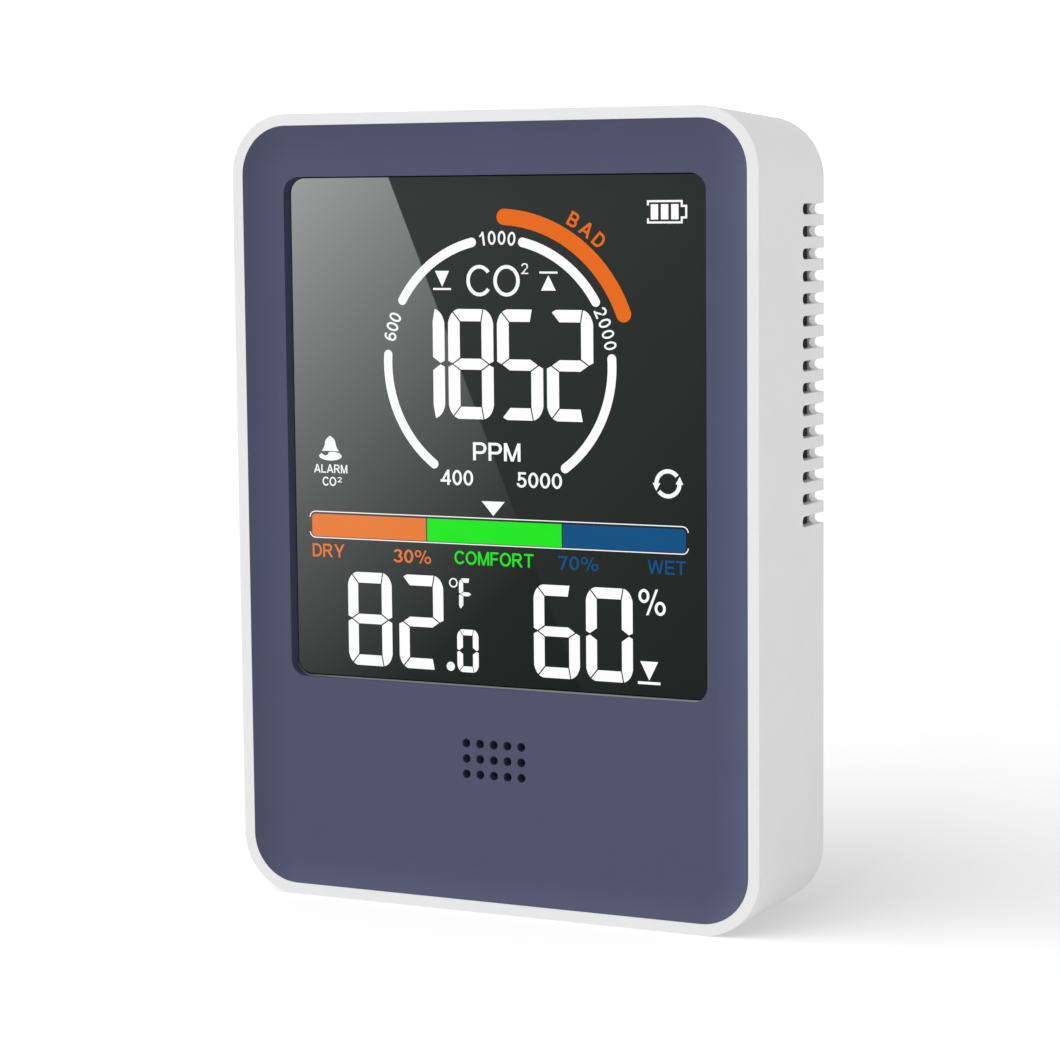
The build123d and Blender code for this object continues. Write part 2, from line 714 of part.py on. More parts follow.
with BuildPart() as surface_mount_parts:
    with BuildSketch(at_depth(PCB_BACK + CAPACITOR_HEIGHT)):
        with Locations((MCU_X, MCU_Z)):
            with GridLocations(CAPACITOR_PITCH, 2 * CAPACITOR_OFFSET, CAPACITOR_ROW, 2):
                Rectangle(CAPACITOR_WIDTH, CAPACITOR_LENGTH)
        with Locations((RESISTOR_X, MCU_Z)):
            with GridLocations(RESISTOR_PITCH, RESISTOR_PITCH, 3, 4):
                Rectangle(RESISTOR_WIDTH, RESISTOR_LENGTH)
    extrude(amount=CAPACITOR_HEIGHT)
    with BuildSketch(at_depth(PCB_BACK + COIL_HEIGHT)):
        for coil_x in COIL_PLACES:
            with Locations((coil_x, COIL_Z)):
                Rectangle(COIL_SIZE, COIL_SIZE)
        with Locations((CHARGER_X, CHARGER_Z)):
            Rectangle(CHARGER_SIZE, CHARGER_SIZE)
    extrude(amount=COIL_HEIGHT)
save(surface_mount_parts, "surface_mount_parts")

with BuildPart() as humidity_sensor:
    with BuildSketch(at_depth(PCB_BACK + HUMIDITY_HEIGHT)):
        with Locations((HUMIDITY_X, HUMIDITY_Z)):
            Rectangle(HUMIDITY_SIZE, HUMIDITY_SIZE)
    extrude(amount=HUMIDITY_HEIGHT)
    with BuildSketch(at_depth(PCB_BACK + HUMIDITY_HEIGHT)):
        with Locations((HUMIDITY_X, HUMIDITY_Z)):
            Circle(HUMIDITY_HOLE)
    extrude(amount=HUMIDITY_HOLE_DEPTH, mode=Mode.SUBTRACT)
save(humidity_sensor, "humidity_sensor")

screws(
    "pcb_screws",
    STANDOFF_SPREAD_X,
    STANDOFF_SPREAD_Z,
    MIDDLE,
    seat=PCB_BACK,
    head_radius=PCB_SCREW_HEAD,
    head_height=PCB_SCREW_HEAD_HEIGHT,
    shank_radius=STANDOFF_PILOT,
    length=PCB_SCREW_LENGTH,
)
screws(
    "housing_screws",
    SCREW_SPREAD_X,
    SCREW_SPREAD_Z,
    MIDDLE,
    seat=SCREW_SEAT,
    head_radius=SCREW_HEAD,
    head_height=SCREW_HEAD_HEIGHT,
    shank_radius=POST_PILOT,
    length=SCREW_LENGTH,
)


# ---------------------------------------------------------------- carbon dioxide sensor
with BuildPart() as co2_sensor_board:
    with BuildSketch(at_depth(SENSOR_BOARD_BACK)):
        with Locations((SENSOR_X, SENSOR_Z)):
            RectangleRounded(SENSOR_WIDTH, SENSOR_HEIGHT, SENSOR_BOARD_CORNER)
            with GridLocations(PIN_PITCH, PIN_ROW_SPREAD, PINS_PER_ROW, 2):
                Circle(PIN_HOLE, mode=Mode.SUBTRACT)
    extrude(amount=SENSOR_BOARD_BACK - SENSOR_BOARD_FRONT)
save(co2_sensor_board, "co2_sensor_board")

with BuildPart() as co2_sensor_chamber:
    with BuildSketch(at_depth(CHAMBER_BACK)):
        with Locations((SENSOR_X, SENSOR_Z)):
            RectangleRounded(CHAMBER_WIDTH, CHAMBER_HEIGHT, CHAMBER_CORNER)
    extrude(amount=CHAMBER_BACK - SENSOR_BOARD_BACK)
    fillet(co2_sensor_chamber.edges().group_by(Axis.Y)[-1], CHAMBER_EDGE_ROUND)
    with BuildSketch(at_depth(CHAMBER_BACK)):
        with Locations((SENSOR_X, SENSOR_Z)):
            with GridLocations(FILTER_SPREAD_X, FILTER_SPREAD_Z, 2, 2):
                Circle(FILTER_RADIUS + FILTER_FIT)
    extrude(amount=FILTER_SEAT, mode=Mode.SUBTRACT)
save(co2_sensor_chamber, "co2_sensor_chamber")

with BuildPart() as co2_sensor_filters:
    with BuildSketch(at_depth(CHAMBER_BACK - FILTER_SUNK)):
        with Locations((SENSOR_X, SENSOR_Z)):
            with GridLocations(FILTER_SPREAD_X, FILTER_SPREAD_Z, 2, 2):
                Circle(FILTER_RADIUS)
    extrude(amount=FILTER_THICKNESS)
save(co2_sensor_filters, "co2_sensor_filters")

with BuildPart() as co2_sensor_headers:
    with BuildSketch(at_depth(SENSOR_BOARD_FRONT)):
        with Locations((SENSOR_X, SENSOR_Z)):
            with GridLocations(PIN_PITCH, PIN_ROW_SPREAD, 1, 2):
                Rectangle(PIN_PITCH * PINS_PER_ROW, HEADER_WIDTH)
            with GridLocations(PIN_PITCH, PIN_ROW_SPREAD, PINS_PER_ROW, 2):
                Circle(PIN_HOLE, mode=Mode.SUBTRACT)
    extrude(amount=SENSOR_BOARD_FRONT - PCB_BACK)
save(co2_sensor_headers, "co2_sensor_headers")

with BuildPart() as co2_sensor_pins:
    with BuildSketch(at_depth(SENSOR_BOARD_BACK + PIN_TAIL)):
        with Locations((SENSOR_X, SENSOR_Z)):
            with GridLocations(PIN_PITCH, PIN_ROW_SPREAD, PINS_PER_ROW, 2):
                Circle(PIN_RADIUS)
    extrude(amount=SENSOR_BOARD_BACK + PIN_TAIL - PCB_FRONT)
save(co2_sensor_pins, "co2_sensor_pins")

dust_screen_y = (DUST_SCREEN_FRONT + DUST_SCREEN_BACK) / 2 - BODY_DEPTH / 2
with BuildPart() as vent_dust_screens:
    with BuildSketch(Plane.XY.offset(SLOT_LOWEST - DUST_SCREEN_MARGIN)):
        with Locations((0, dust_screen_y)):
            with GridLocations(CAVITY_WIDTH - DUST_SCREEN_THICKNESS, 1.0, 2, 1):
                Rectangle(DUST_SCREEN_THICKNESS, DUST_SCREEN_BACK - DUST_SCREEN_FRONT)
    extrude(amount=SLOT_PITCH * (SLOT_COUNT - 1) + 2 * DUST_SCREEN_MARGIN)
save(vent_dust_screens, "vent_dust_screens")


# ---------------------------------------------------------------- buzzer behind the grille
with BuildPart() as grille_mesh:
    with BuildSketch(at_depth(MESH_BACK)):
        with Locations((0, GRILLE_MIDDLE)):
            Circle(MESH_RADIUS)
    extrude(amount=MESH_BACK - FASCIA_BACK)
save(grille_mesh, "grille_mesh")

with BuildPart() as buzzer_gasket:
    with BuildSketch(at_depth(GASKET_BACK)):
        with Locations((0, GRILLE_MIDDLE)):
            Circle(GASKET_RADIUS)
            Circle(BUZZER_RADIUS + GASKET_CLEARANCE, mode=Mode.SUBTRACT)
    extrude(amount=GASKET_BACK - MESH_BACK)
save(buzzer_gasket, "buzzer_gasket")

buzzer_case_back = PCB_FRONT - BUZZER_BASE_THICKNESS
with BuildPart() as buzzer_case:
    with BuildSketch(at_depth(buzzer_case_back)):
        with Locations((0, GRILLE_MIDDLE)):
            Circle(BUZZER_RADIUS)
    extrude(amount=buzzer_case_back - BUZZER_FRONT)
    fillet(buzzer_case.edges().group_by(Axis.Y)[0], BUZZER_EDGE_ROUND)
    with BuildSketch(at_depth(buzzer_case_back)):
        with Locations((0, GRILLE_MIDDLE)):
            Circle(BUZZER_RADIUS - BUZZER_WALL)
    extrude(amount=buzzer_case_back - BUZZER_FRONT - BUZZER_WALL, mode=Mode.SUBTRACT)
    with BuildSketch(at_depth(BUZZER_FRONT + BUZZER_WALL)):
        with Locations((0, GRILLE_MIDDLE)):
            Circle(BUZZER_SOUND_HOLE)
    extrude(amount=BUZZER_WALL, mode=Mode.SUBTRACT)
save(buzzer_case, "buzzer_case")

with BuildPart() as buzzer_base:
    with BuildSketch(at_depth(PCB_FRONT)):
        with Locations((0, GRILLE_MIDDLE)):
            Circle(BUZZER_RADIUS)
    extrude(amount=BUZZER_BASE_THICKNESS)
    with BuildSketch(at_depth(buzzer_case_back)):
        with Locations((0, GRILLE_MIDDLE)):
            Circle(BUZZER_STUB_RADIUS)
    extrude(amount=BUZZER_STUB_LENGTH)
save(buzzer_base, "buzzer_base")

with BuildPart() as buzzer_disc:
    with BuildSketch(at_depth(BUZZER_DISC_BACK)):
        with Locations((0, GRILLE_MIDDLE)):
            Circle(BUZZER_RADIUS - BUZZER_WALL - BUZZER_DISC_GAP)
    extrude(amount=BUZZER_DISC_THICKNESS)
save(buzzer_disc, "buzzer_disc")


# ---------------------------------------------------------------- battery
with BuildPart() as battery_cell:
    with BuildSketch(at_depth(CELL_BACK)):
        with Locations((0, CELL_BOTTOM + CELL_HEIGHT / 2)):
            RectangleRounded(CELL_WIDTH, CELL_HEIGHT, CELL_CORNER)
    extrude(amount=CELL_BACK - CELL_FRONT)
    fillet(battery_cell.edges().group_by(Axis.Y)[0], CELL_EDGE_ROUND)
save(battery_cell, "battery_cell")

with BuildPart() as battery_tape:
    with BuildSketch(at_depth(BACK_INSIDE)):
        with Locations((0, CELL_BOTTOM + CELL_HEIGHT / 2)):
            with GridLocations(CELL_TAPE_SPREAD, 1.0, 2, 1):
                Rectangle(CELL_TAPE_WIDTH, CELL_TAPE_HEIGHT)
    extrude(amount=BACK_INSIDE - CELL_BACK)
save(battery_tape, "battery_tape")

cell_top = CELL_BOTTOM + CELL_HEIGHT
for colour, side in (("red", -1), ("black", 1)):
    lead_x = PLUG_X + side * LEAD_SPACING / 2
    with BuildPart() as lead:
        with BuildLine() as lead_route:
            FilletPolyline(
                (lead_x, LEAD_DEPTH_AT_CELL - BODY_DEPTH / 2, cell_top),
                (lead_x, LEAD_DEPTH_AT_CELL - BODY_DEPTH / 2, cell_top + LEAD_END),
                (lead_x, LEAD_DEPTH_AT_PLUG - BODY_DEPTH / 2, PLUG_BOTTOM - LEAD_END),
                (lead_x, LEAD_DEPTH_AT_PLUG - BODY_DEPTH / 2, PLUG_BOTTOM),
                radius=LEAD_BEND,
            )
        with BuildSketch(Plane.XY.offset(cell_top)):
            with Locations((lead_x, LEAD_DEPTH_AT_CELL - BODY_DEPTH / 2)):
                Circle(LEAD_RADIUS)
        sweep(path=lead_route.line)
    save(lead, f"battery_lead_{colour}")

with BuildPart() as battery_plug:
    with BuildSketch(Plane.XY.offset(PLUG_BOTTOM)):
        with Locations((PLUG_X, LEAD_DEPTH_AT_PLUG - BODY_DEPTH / 2)):
            Rectangle(PLUG_WIDTH, PLUG_THICKNESS)
    extrude(amount=PLUG_HEIGHT)
    chamfer(battery_plug.edges().group_by(Axis.Z)[-1], PLUG_EDGE)
save(battery_plug, "battery_plug")

with BuildPart() as battery_socket:
    with BuildSketch(Plane.XY.offset(SOCKET_BOTTOM)):
        with Locations((PLUG_X, PCB_BACK - BODY_DEPTH / 2)):
            Rectangle(SOCKET_WIDTH, SOCKET_THICKNESS, align=(Align.CENTER, Align.MIN))
        with Locations((PLUG_X, LEAD_DEPTH_AT_PLUG - BODY_DEPTH / 2)):
            Rectangle(
                PLUG_WIDTH + 2 * SOCKET_FIT,
                PLUG_THICKNESS + 2 * SOCKET_FIT,
                mode=Mode.SUBTRACT,
            )
    extrude(amount=SOCKET_HEIGHT - SOCKET_FLOOR)
    with BuildSketch(Plane.XY.offset(SOCKET_BOTTOM + SOCKET_HEIGHT - SOCKET_FLOOR)):
        with Locations((PLUG_X, PCB_BACK - BODY_DEPTH / 2)):
            Rectangle(SOCKET_WIDTH, SOCKET_THICKNESS, align=(Align.CENTER, Align.MIN))
    extrude(amount=SOCKET_FLOOR)
save(battery_socket, "battery_socket")


# ---------------------------------------------------------------- charging port
port_mouth_x = -BODY_WIDTH / 2 + PORT_MOUTH
with BuildPart() as usb_c_shell:
    with BuildSketch(Plane.right.offset(port_mouth_x)):
        with Locations((PORT_DEPTH - BODY_DEPTH / 2, PORT_Z)):
            SlotOverall(PORT_WIDTH, PORT_HEIGHT, rotation=90)
            SlotOverall(
                PORT_WIDTH - 2 * PORT_WALL,
                PORT_HEIGHT - 2 * PORT_WALL,
                rotation=90,
                mode=Mode.SUBTRACT,
            )
    extrude(amount=PORT_LENGTH)
save(usb_c_shell, "usb_c_shell")

with BuildPart() as usb_c_tongue:
    with BuildSketch(Plane.right.offset(port_mouth_x + PORT_LENGTH - PORT_END_WALL)):
        with Locations((PORT_DEPTH - BODY_DEPTH / 2, PORT_Z)):
            SlotOverall(PORT_WIDTH - 2 * PORT_WALL, PORT_HEIGHT - 2 * PORT_WALL, rotation=90)
    extrude(amount=PORT_END_WALL)
    with BuildSketch(Plane.right.offset(port_mouth_x + TONGUE_INSET)):
        with Locations((PORT_DEPTH - BODY_DEPTH / 2, PORT_Z)):
            Rectangle(TONGUE_THICKNESS, TONGUE_WIDTH)
    extrude(amount=PORT_LENGTH - PORT_END_WALL - TONGUE_INSET)
save(usb_c_tongue, "usb_c_tongue")


# ---------------------------------------------------------------- push buttons and switches
with BuildPart() as switch_bodies:
    with BuildSketch(at_depth(SWITCH_BACK)):
        with Locations((0, BUTTON_Z)):
            with GridLocations(BUTTON_PITCH, BUTTON_PITCH, len(BUTTON_NAMES), 1):
                RectangleRounded(SWITCH_SIZE, SWITCH_SIZE, SWITCH_CORNER)
    extrude(amount=SWITCH_BACK - PCB_BACK)
    with BuildSketch(at_depth(SWITCH_BACK)):
        with Locations((0, BUTTON_Z)):
            with GridLocations(BUTTON_PITCH, BUTTON_PITCH, len(BUTTON_NAMES), 1):
                Circle(SWITCH_CHAMBER_RADIUS + SWITCH_CHAMBER_FIT)
    extrude(amount=SWITCH_BACK - SWITCH_CHAMBER_FRONT, mode=Mode.SUBTRACT)
save(switch_bodies, "switch_bodies")

with BuildPart() as switch_covers:
    with BuildSketch(at_depth(SWITCH_BACK + SWITCH_COVER)):
        with Locations((0, BUTTON_Z)):
            with GridLocations(BUTTON_PITCH, BUTTON_PITCH, len(BUTTON_NAMES), 1):
                RectangleRounded(SWITCH_SIZE, SWITCH_SIZE, SWITCH_CORNER)
                Circle(PLUNGER_RADIUS + PLUNGER_FIT, mode=Mode.SUBTRACT)
    extrude(amount=SWITCH_COVER)
save(switch_covers, "switch_covers")

# Each contact dome is a thin spherical cap standing on the floor of its switch
dome_rise = DOME_CROWN - SWITCH_CHAMBER_FRONT
dome_radius = (SWITCH_CHAMBER_RADIUS**2 + dome_rise**2) / (2 * dome_rise)
with BuildPart() as switch_domes:
    for column in range(len(BUTTON_NAMES)):
        dome_x = (column - 1) * BUTTON_PITCH
        floor_y = SWITCH_CHAMBER_FRONT - BODY_DEPTH / 2
        crown_y = DOME_CROWN - BODY_DEPTH / 2
        with BuildSketch(Plane.XY.offset(BUTTON_Z)):
            with BuildLine():
                outside = RadiusArc(
                    (dome_x, crown_y),
                    (dome_x + SWITCH_CHAMBER_RADIUS, floor_y),
                    dome_radius,
                )
                inside = RadiusArc(
                    (dome_x, crown_y - DOME_THICKNESS),
                    (dome_x + SWITCH_CHAMBER_RADIUS - 2 * DOME_THICKNESS, floor_y),
                    dome_radius,
                )
                Line(outside @ 1, inside @ 1)
                Line(inside @ 0, outside @ 0)
            make_face()
        revolve(axis=Axis((dome_x, 0, BUTTON_Z), (0, 1, 0)))
save(switch_domes, "switch_domes")

for column, name in enumerate(BUTTON_NAMES):
    button_x = (column - 1) * BUTTON_PITCH
    with BuildPart() as plunger:
        with BuildSketch(at_depth(PLUNGER_FOOT_BACK)):
            with Locations((button_x, BUTTON_Z)):
                Circle(PLUNGER_FOOT_RADIUS)
        extrude(amount=PLUNGER_FOOT_BACK - PLUNGER_FOOT_FRONT)
        with BuildSketch(at_depth(BUTTON_FLANGE_FRONT)):
            with Locations((button_x, BUTTON_Z)):
                Circle(PLUNGER_RADIUS)
        extrude(amount=BUTTON_FLANGE_FRONT - PLUNGER_FOOT_BACK)
    save(plunger, f"switch_plunger_{name}")

    with BuildPart() as button:
        with BuildSketch(at_depth(BUTTON_BACK)):
            with Locations((button_x, BUTTON_Z)):
                Circle(BUTTON_RADIUS)
        extrude(amount=BUTTON_BACK - BUTTON_FLANGE_FRONT)
        fillet(button.edges().group_by(Axis.Y)[-1], BUTTON_EDGE_ROUND)
        with BuildSketch(at_depth(BUTTON_FLANGE_BACK)):
            with Locations((button_x, BUTTON_Z)):
                Circle(BUTTON_FLANGE_RADIUS)
        extrude(amount=BUTTON_FLANGE_BACK - BUTTON_FLANGE_FRONT)
    save(button, f"button_{name}")


# ---------------------------------------------------------------- rating label
with BuildPart() as rating_label:
    with BuildSketch(at_depth(BODY_DEPTH - LABEL_RECESS + LABEL_THICKNESS)):
        with Locations((0, LABEL_Z)):
            RectangleRounded(LABEL_WIDTH, LABEL_HEIGHT, LABEL_CORNER)
    extrude(amount=LABEL_THICKNESS)
save(rating_label, "rating_label")
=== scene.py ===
"""The looks of a desktop carbon dioxide monitor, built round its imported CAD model.

Places come from the frame, in metres. The display artwork is laid out in millimetres from the
middle of the window, x to the right and z up, and stands a hair proud of the window's face.
"""
import json
import math

import bmesh
import bpy
from mathutils import Matrix, Vector
from mathutils.geometry import delaunay_2d_cdt

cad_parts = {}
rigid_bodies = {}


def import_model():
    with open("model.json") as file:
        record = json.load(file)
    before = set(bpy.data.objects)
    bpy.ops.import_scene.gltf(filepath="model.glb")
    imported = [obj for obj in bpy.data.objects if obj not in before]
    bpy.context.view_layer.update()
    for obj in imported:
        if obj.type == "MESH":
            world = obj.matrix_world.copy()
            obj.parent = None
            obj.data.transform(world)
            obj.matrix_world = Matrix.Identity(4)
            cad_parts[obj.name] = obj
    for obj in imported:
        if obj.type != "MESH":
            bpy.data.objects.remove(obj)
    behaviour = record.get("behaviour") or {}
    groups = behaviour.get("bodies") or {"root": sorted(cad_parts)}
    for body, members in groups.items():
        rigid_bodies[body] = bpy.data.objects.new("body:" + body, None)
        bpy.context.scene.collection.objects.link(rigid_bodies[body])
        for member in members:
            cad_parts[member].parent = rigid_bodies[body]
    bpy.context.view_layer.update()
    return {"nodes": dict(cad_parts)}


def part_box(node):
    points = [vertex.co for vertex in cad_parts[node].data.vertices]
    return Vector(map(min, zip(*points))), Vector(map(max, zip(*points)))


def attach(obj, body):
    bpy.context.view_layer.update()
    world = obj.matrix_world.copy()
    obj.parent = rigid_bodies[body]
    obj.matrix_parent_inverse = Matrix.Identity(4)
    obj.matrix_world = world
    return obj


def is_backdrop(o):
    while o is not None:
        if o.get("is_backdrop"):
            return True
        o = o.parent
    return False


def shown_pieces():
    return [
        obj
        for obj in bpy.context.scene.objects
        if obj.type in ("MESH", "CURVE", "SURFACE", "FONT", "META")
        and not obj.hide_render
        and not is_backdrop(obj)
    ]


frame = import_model()

MM = 0.001
HOUSING = "housing"
lens_low, lens_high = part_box("display_window")
LENS_MIDDLE = (lens_low + lens_high) / 2
LENS_FACE = lens_low.y

# Camera, as a product photographer's long lens from the right of the front
CAMERA_PLACE = Vector((0.20965, -0.42383, 0.10825))
CAMERA_YAW = 26.27
CAMERA_PITCH = -6.21
CAMERA_ROLL = -0.54
CAMERA_LENS = 106.13
CAMERA_SENSOR = 36.0

# Artwork: where its middle is from the window's, how far it is sunk into and stands out of a
# face, and the share of a letter's height that its strokes take
ART_MIDDLE = (0.16, 0.03)
ART_SUNK = 0.02
ART_PROUD = 0.03
SEGMENT_GAP = 0.2
BOLD = 0.165
LETTER_SPACE = 0.12
DIAL_LETTER_SQUEEZE = 0.88
CORNER_MERGE = 0.0005

# The window's corner radius, its gap to the opening round it, and the lip at the back of the
# opening's lower wall, a pale strip of painted highlight: its least depth, what it gains round
# the corner and then to the right
WINDOW_CORNER = 2.42
WINDOW_GAP = 0.08
LIP_START = 0.12
LIP_DEPTH = 0.85
LIP_GROWTH = 0.5

# The dial round the reading, in millimetres and degrees
DIAL = (0.3, 10.13)
DIAL_RADIUS = 18.6
DIAL_STROKE = 1.4

# How the window mirrors the studio: its reflectance and its own tone, then the tones that two
# cards give it, each as a base, a change to the right and a change upwards across the window
WINDOW_REFLECTANCE = 0.042
WINDOW_OWN_TONE = 0.004
BROAD_TONE = (0.192, -0.046, 0.064)
GLOSS_TONE = (0.257, -0.205, 0.363)
GLOSS_EDGE_TOP = 0.2444
GLOSS_EDGE_BOTTOM = 0.6994
CARD_TINT = (0.96, 1.0, 0.97)
CARD_PLANE = -1.0

# The studio: the tone of its walls, the floor's size, paper and glow, and the lamps in degrees
STUDIO_TONE = 0.775
FLOOR_REACH = 6.0
FLOOR_TONE = 0.26
FLOOR_GLOW = 0.46
LAMPS = {
    "table_light": {"azimuth": 230.0, "elevation": 22.0, "spread": 90.0, "strength": 11.3},
    "side_light": {"azimuth": 196.0, "elevation": 32.6, "spread": 30.0, "strength": 2.9},
    "front_light": {"azimuth": 262.0, "elevation": 35.0, "spread": 40.0, "strength": 0.8},
}

WHITE = (1.0, 1.0, 1.0)
ALERT_ORANGE = (0.8, 0.145, 0.008)
DRY_ORANGE = (0.81, 0.207, 0.037)
LEGEND_ORANGE = (0.795, 0.193, 0.043)
COMFORT_GREEN = (0.012, 0.81, 0.012)
WET_BLUE = (0.002, 0.08, 0.225)
PRINT_GREY = (0.16, 0.17, 0.19)


# ---------------------------------------------------------------- material building blocks
def new_material(name, colour, roughness, metallic=0.0):
    """A principled material, with the values that are the same all over set on the shader."""
    material = bpy.data.materials.new(name)
    material.use_nodes = True
    shader = material.node_tree.nodes["Principled BSDF"]
    shader.inputs["Base Color"].default_value = (*colour, 1.0)
    shader.inputs["Roughness"].default_value = roughness
    shader.inputs["Metallic"].default_value = metallic
    return material


def shader_of(material):
    return material.node_tree.nodes["Principled BSDF"]


def add_node(material, kind, **values):
    """A new node with its input values set; names are given with underscores for spaces."""
    made = material.node_tree.nodes.new(kind)
    for name, value in values.items():
        made.inputs[name.replace("_", " ")].default_value = value
    return made


def link(material, source, target):
    material.node_tree.links.new(source, target)


def noise(material, size, detail=3.0, stretch=(1.0, 1.0, 1.0)):
    """Noise fixed to the piece, with features about size millimetres across."""
    place = material.node_tree.nodes.new("ShaderNodeTexCoord")
    scaled = add_node(material, "ShaderNodeMapping", Scale=stretch)
    texture = add_node(material, "ShaderNodeTexNoise", Scale=1.0 / (size * MM), Detail=detail)
    link(material, place.outputs["Object"], scaled.inputs["Vector"])
    link(material, scaled.outputs["Vector"], texture.inputs["Vector"])
    return texture.outputs["Fac"]


def between(material, factor, dark, light):
    """A colour that runs from dark to light as factor crosses the middle of its range."""
    ramp = material.node_tree.nodes.new("ShaderNodeValToRGB")
    ramp.color_ramp.elements[0].position = 0.3
    ramp.color_ramp.elements[1].position = 0.7
    ramp.color_ramp.elements[0].color = (*dark, 1.0)
    ramp.color_ramp.elements[1].color = (*light, 1.0)
    link(material, factor, ramp.inputs["Fac"])
    return ramp.outputs["Color"]


def vary_colour(material, colour, amount, size):
    """Mottles the base colour by the given share."""
    dark = [c * (1.0 - amount) for c in colour]
    light = [min(1.0, c * (1.0 + amount)) for c in colour]
    mottled = between(material, noise(material, size), dark, light)
    link(material, mottled, shader_of(material).inputs["Base Color"])


def vary_roughness(material, low, high, size, stretch=(1.0, 1.0, 1.0)):
    ends = {"From_Min": 0.3, "From_Max": 0.7, "To_Min": low, "To_Max": high}
    span = add_node(material, "ShaderNodeMapRange", **ends)
    link(material, noise(material, size, stretch=stretch), span.inputs["Value"])
    link(material, span.outputs["Result"], shader_of(material).inputs["Roughness"])


def bump(material, height_source, height, strength=1.0):
    """Relief of the given height in millimetres."""
    relief = add_node(material, "ShaderNodeBump", Strength=strength, Distance=height * MM)
    link(material, height_source, relief.inputs["Height"])
    link(material, relief.outputs["Normal"], shader_of(material).inputs["Normal"])


# ---------------------------------------------------------------- materials
def moulded_plastic(name, colour, roughness, grain=0.25, relief=0.006, mottle=0.02, sheen=0.5):
    """Injection moulded plastic: a fine spark-eroded grain and a faint uneven tone."""
    material = new_material(name, colour, roughness)
    shader_of(material).inputs["Specular IOR Level"].default_value = sheen
    vary_colour(material, colour, mottle, size=9.0)
    vary_roughness(material, roughness - 0.05, roughness + 0.05, size=3.0)
    bump(material, noise(material, grain, detail=2.0), relief)
    return material


def worked_metal(name, colour, roughness, stretch=(1.0, 1.0, 1.0)):
    """Drawn, stamped or plated metal with fine working marks along one direction."""
    material = new_material(name, colour, roughness, metallic=1.0)
    vary_colour(material, colour, 0.06, size=2.0)
    vary_roughness(material, roughness - 0.08, roughness + 0.12, size=0.6, stretch=stretch)
    bump(material, noise(material, 0.3, stretch=stretch), 0.004)
    return material


def woven_mesh(name, colour, pitch, across):
    """A woven screen: threads and dark gaps at the given pitch, in the plane of across and Z."""
    material = new_material(name, colour, 0.95)
    shader_of(material).inputs["Specular IOR Level"].default_value = 0.1
    place = material.node_tree.nodes.new("ShaderNodeTexCoord")
    threads = []
    for axis in (across, "Z"):
        wave = add_node(material, "ShaderNodeTexWave", Scale=math.pi / (10.0 * pitch * MM))
        wave.bands_direction = axis
        link(material, place.outputs["Object"], wave.inputs["Vector"])
        threads.append(wave.outputs["Fac"])
    weave = material.node_tree.nodes.new("ShaderNodeMath")
    weave.operation = "MAXIMUM"
    link(material, threads[0], weave.inputs[0])
    link(material, threads[1], weave.inputs[1])
    gaps = [c * 0.15 for c in colour]
    shade = between(material, weave.outputs["Value"], gaps, colour)
    link(material, shade, shader_of(material).inputs["Base Color"])
    bump(material, weave.outputs["Value"], 0.05)
    return material


def circuit_board(name):
    """Green solder mask over copper tracks that run up and across the board."""
    material = new_material(name, (0.02, 0.12, 0.05), 0.35)
    place = material.node_tree.nodes.new("ShaderNodeTexCoord")
    turned = add_node(material, "ShaderNodeMapping", Rotation=(math.radians(90.0), 0.0, 0.0))
    tracks = add_node(
        material,
        "ShaderNodeTexBrick",
        Scale=1.0 / (6.0 * MM),
        Mortar_Size=0.04,
        Color1=(0.018, 0.11, 0.045, 1.0),
        Color2=(0.025, 0.14, 0.06, 1.0),
        Mortar=(0.05, 0.24, 0.09, 1.0),
    )
    link(material, place.outputs["Object"], turned.inputs["Vector"])
    link(material, turned.outputs["Vector"], tracks.inputs["Vector"])
    link(material, tracks.outputs["Color"], shader_of(material).inputs["Base Color"])
    bump(material, tracks.outputs["Fac"], 0.02)
    return material


def smoked_window(name):
    """Near black glossy acrylic with a very slight flow in its surface."""
    material = new_material(name, (0.004, 0.0075, 0.006), 0.008)
    vary_colour(material, (0.004, 0.0075, 0.006), 0.15, size=20.0)
    vary_roughness(material, 0.006, 0.01, size=15.0)
    return material


def clear_sheet(name, colour, roughness, transmission):
    """A clear or frosted sheet of glass or acrylic."""
    material = new_material(name, colour, roughness)
    shader_of(material).inputs["Transmission Weight"].default_value = transmission
    vary_colour(material, colour, 0.03, size=12.0)
    vary_roughness(material, roughness, roughness + 0.04, size=8.0)
    return material


def foil_pouch(name):
    """Aluminium laminate with soft wrinkles."""
    material = new_material(name, (0.72, 0.72, 0.74), 0.35, metallic=0.8)
    vary_roughness(material, 0.28, 0.5, size=5.0)
    vary_colour(material, (0.72, 0.72, 0.74), 0.05, size=7.0)
    bump(material, noise(material, 8.0, detail=4.0), 0.15)
    return material


def label_film(name):
    """Satin silver polyester with a fine brushed direction."""
    material = new_material(name, (0.62, 0.63, 0.64), 0.4, metallic=0.6)
    vary_colour(material, (0.62, 0.63, 0.64), 0.02, size=4.0)
    vary_roughness(material, 0.34, 0.5, size=0.5, stretch=(0.05, 1.0, 1.0))
    bump(material, noise(material, 0.3, stretch=(0.05, 1.0, 1.0)), 0.003)
    return material


def painted_highlight_lip(name):
    """The satin lip of the window's opening, painted pale grey as a highlight: it stands in for the
    light that the opening's lower edge catches.
    """
    material = new_material(name, (0.27, 0.275, 0.28), 0.4)
    vary_colour(material, (0.27, 0.275, 0.28), 0.06, size=6.0)
    return material


def glowing_ink(name, colour):
    """A lit part of the display: dark glossy film with light coming through, faintly uneven."""
    material = new_material(name, (0.004, 0.005, 0.0045), 0.04)
    shader_of(material).inputs["Specular IOR Level"].default_value = 0.1
    dimmer = [c * 0.97 for c in colour]
    light = between(material, noise(material, 4.0), dimmer, colour)
    link(material, light, shader_of(material).inputs["Emission Color"])
    shader_of(material).inputs["Emission Strength"].default_value = 1.0
    return material


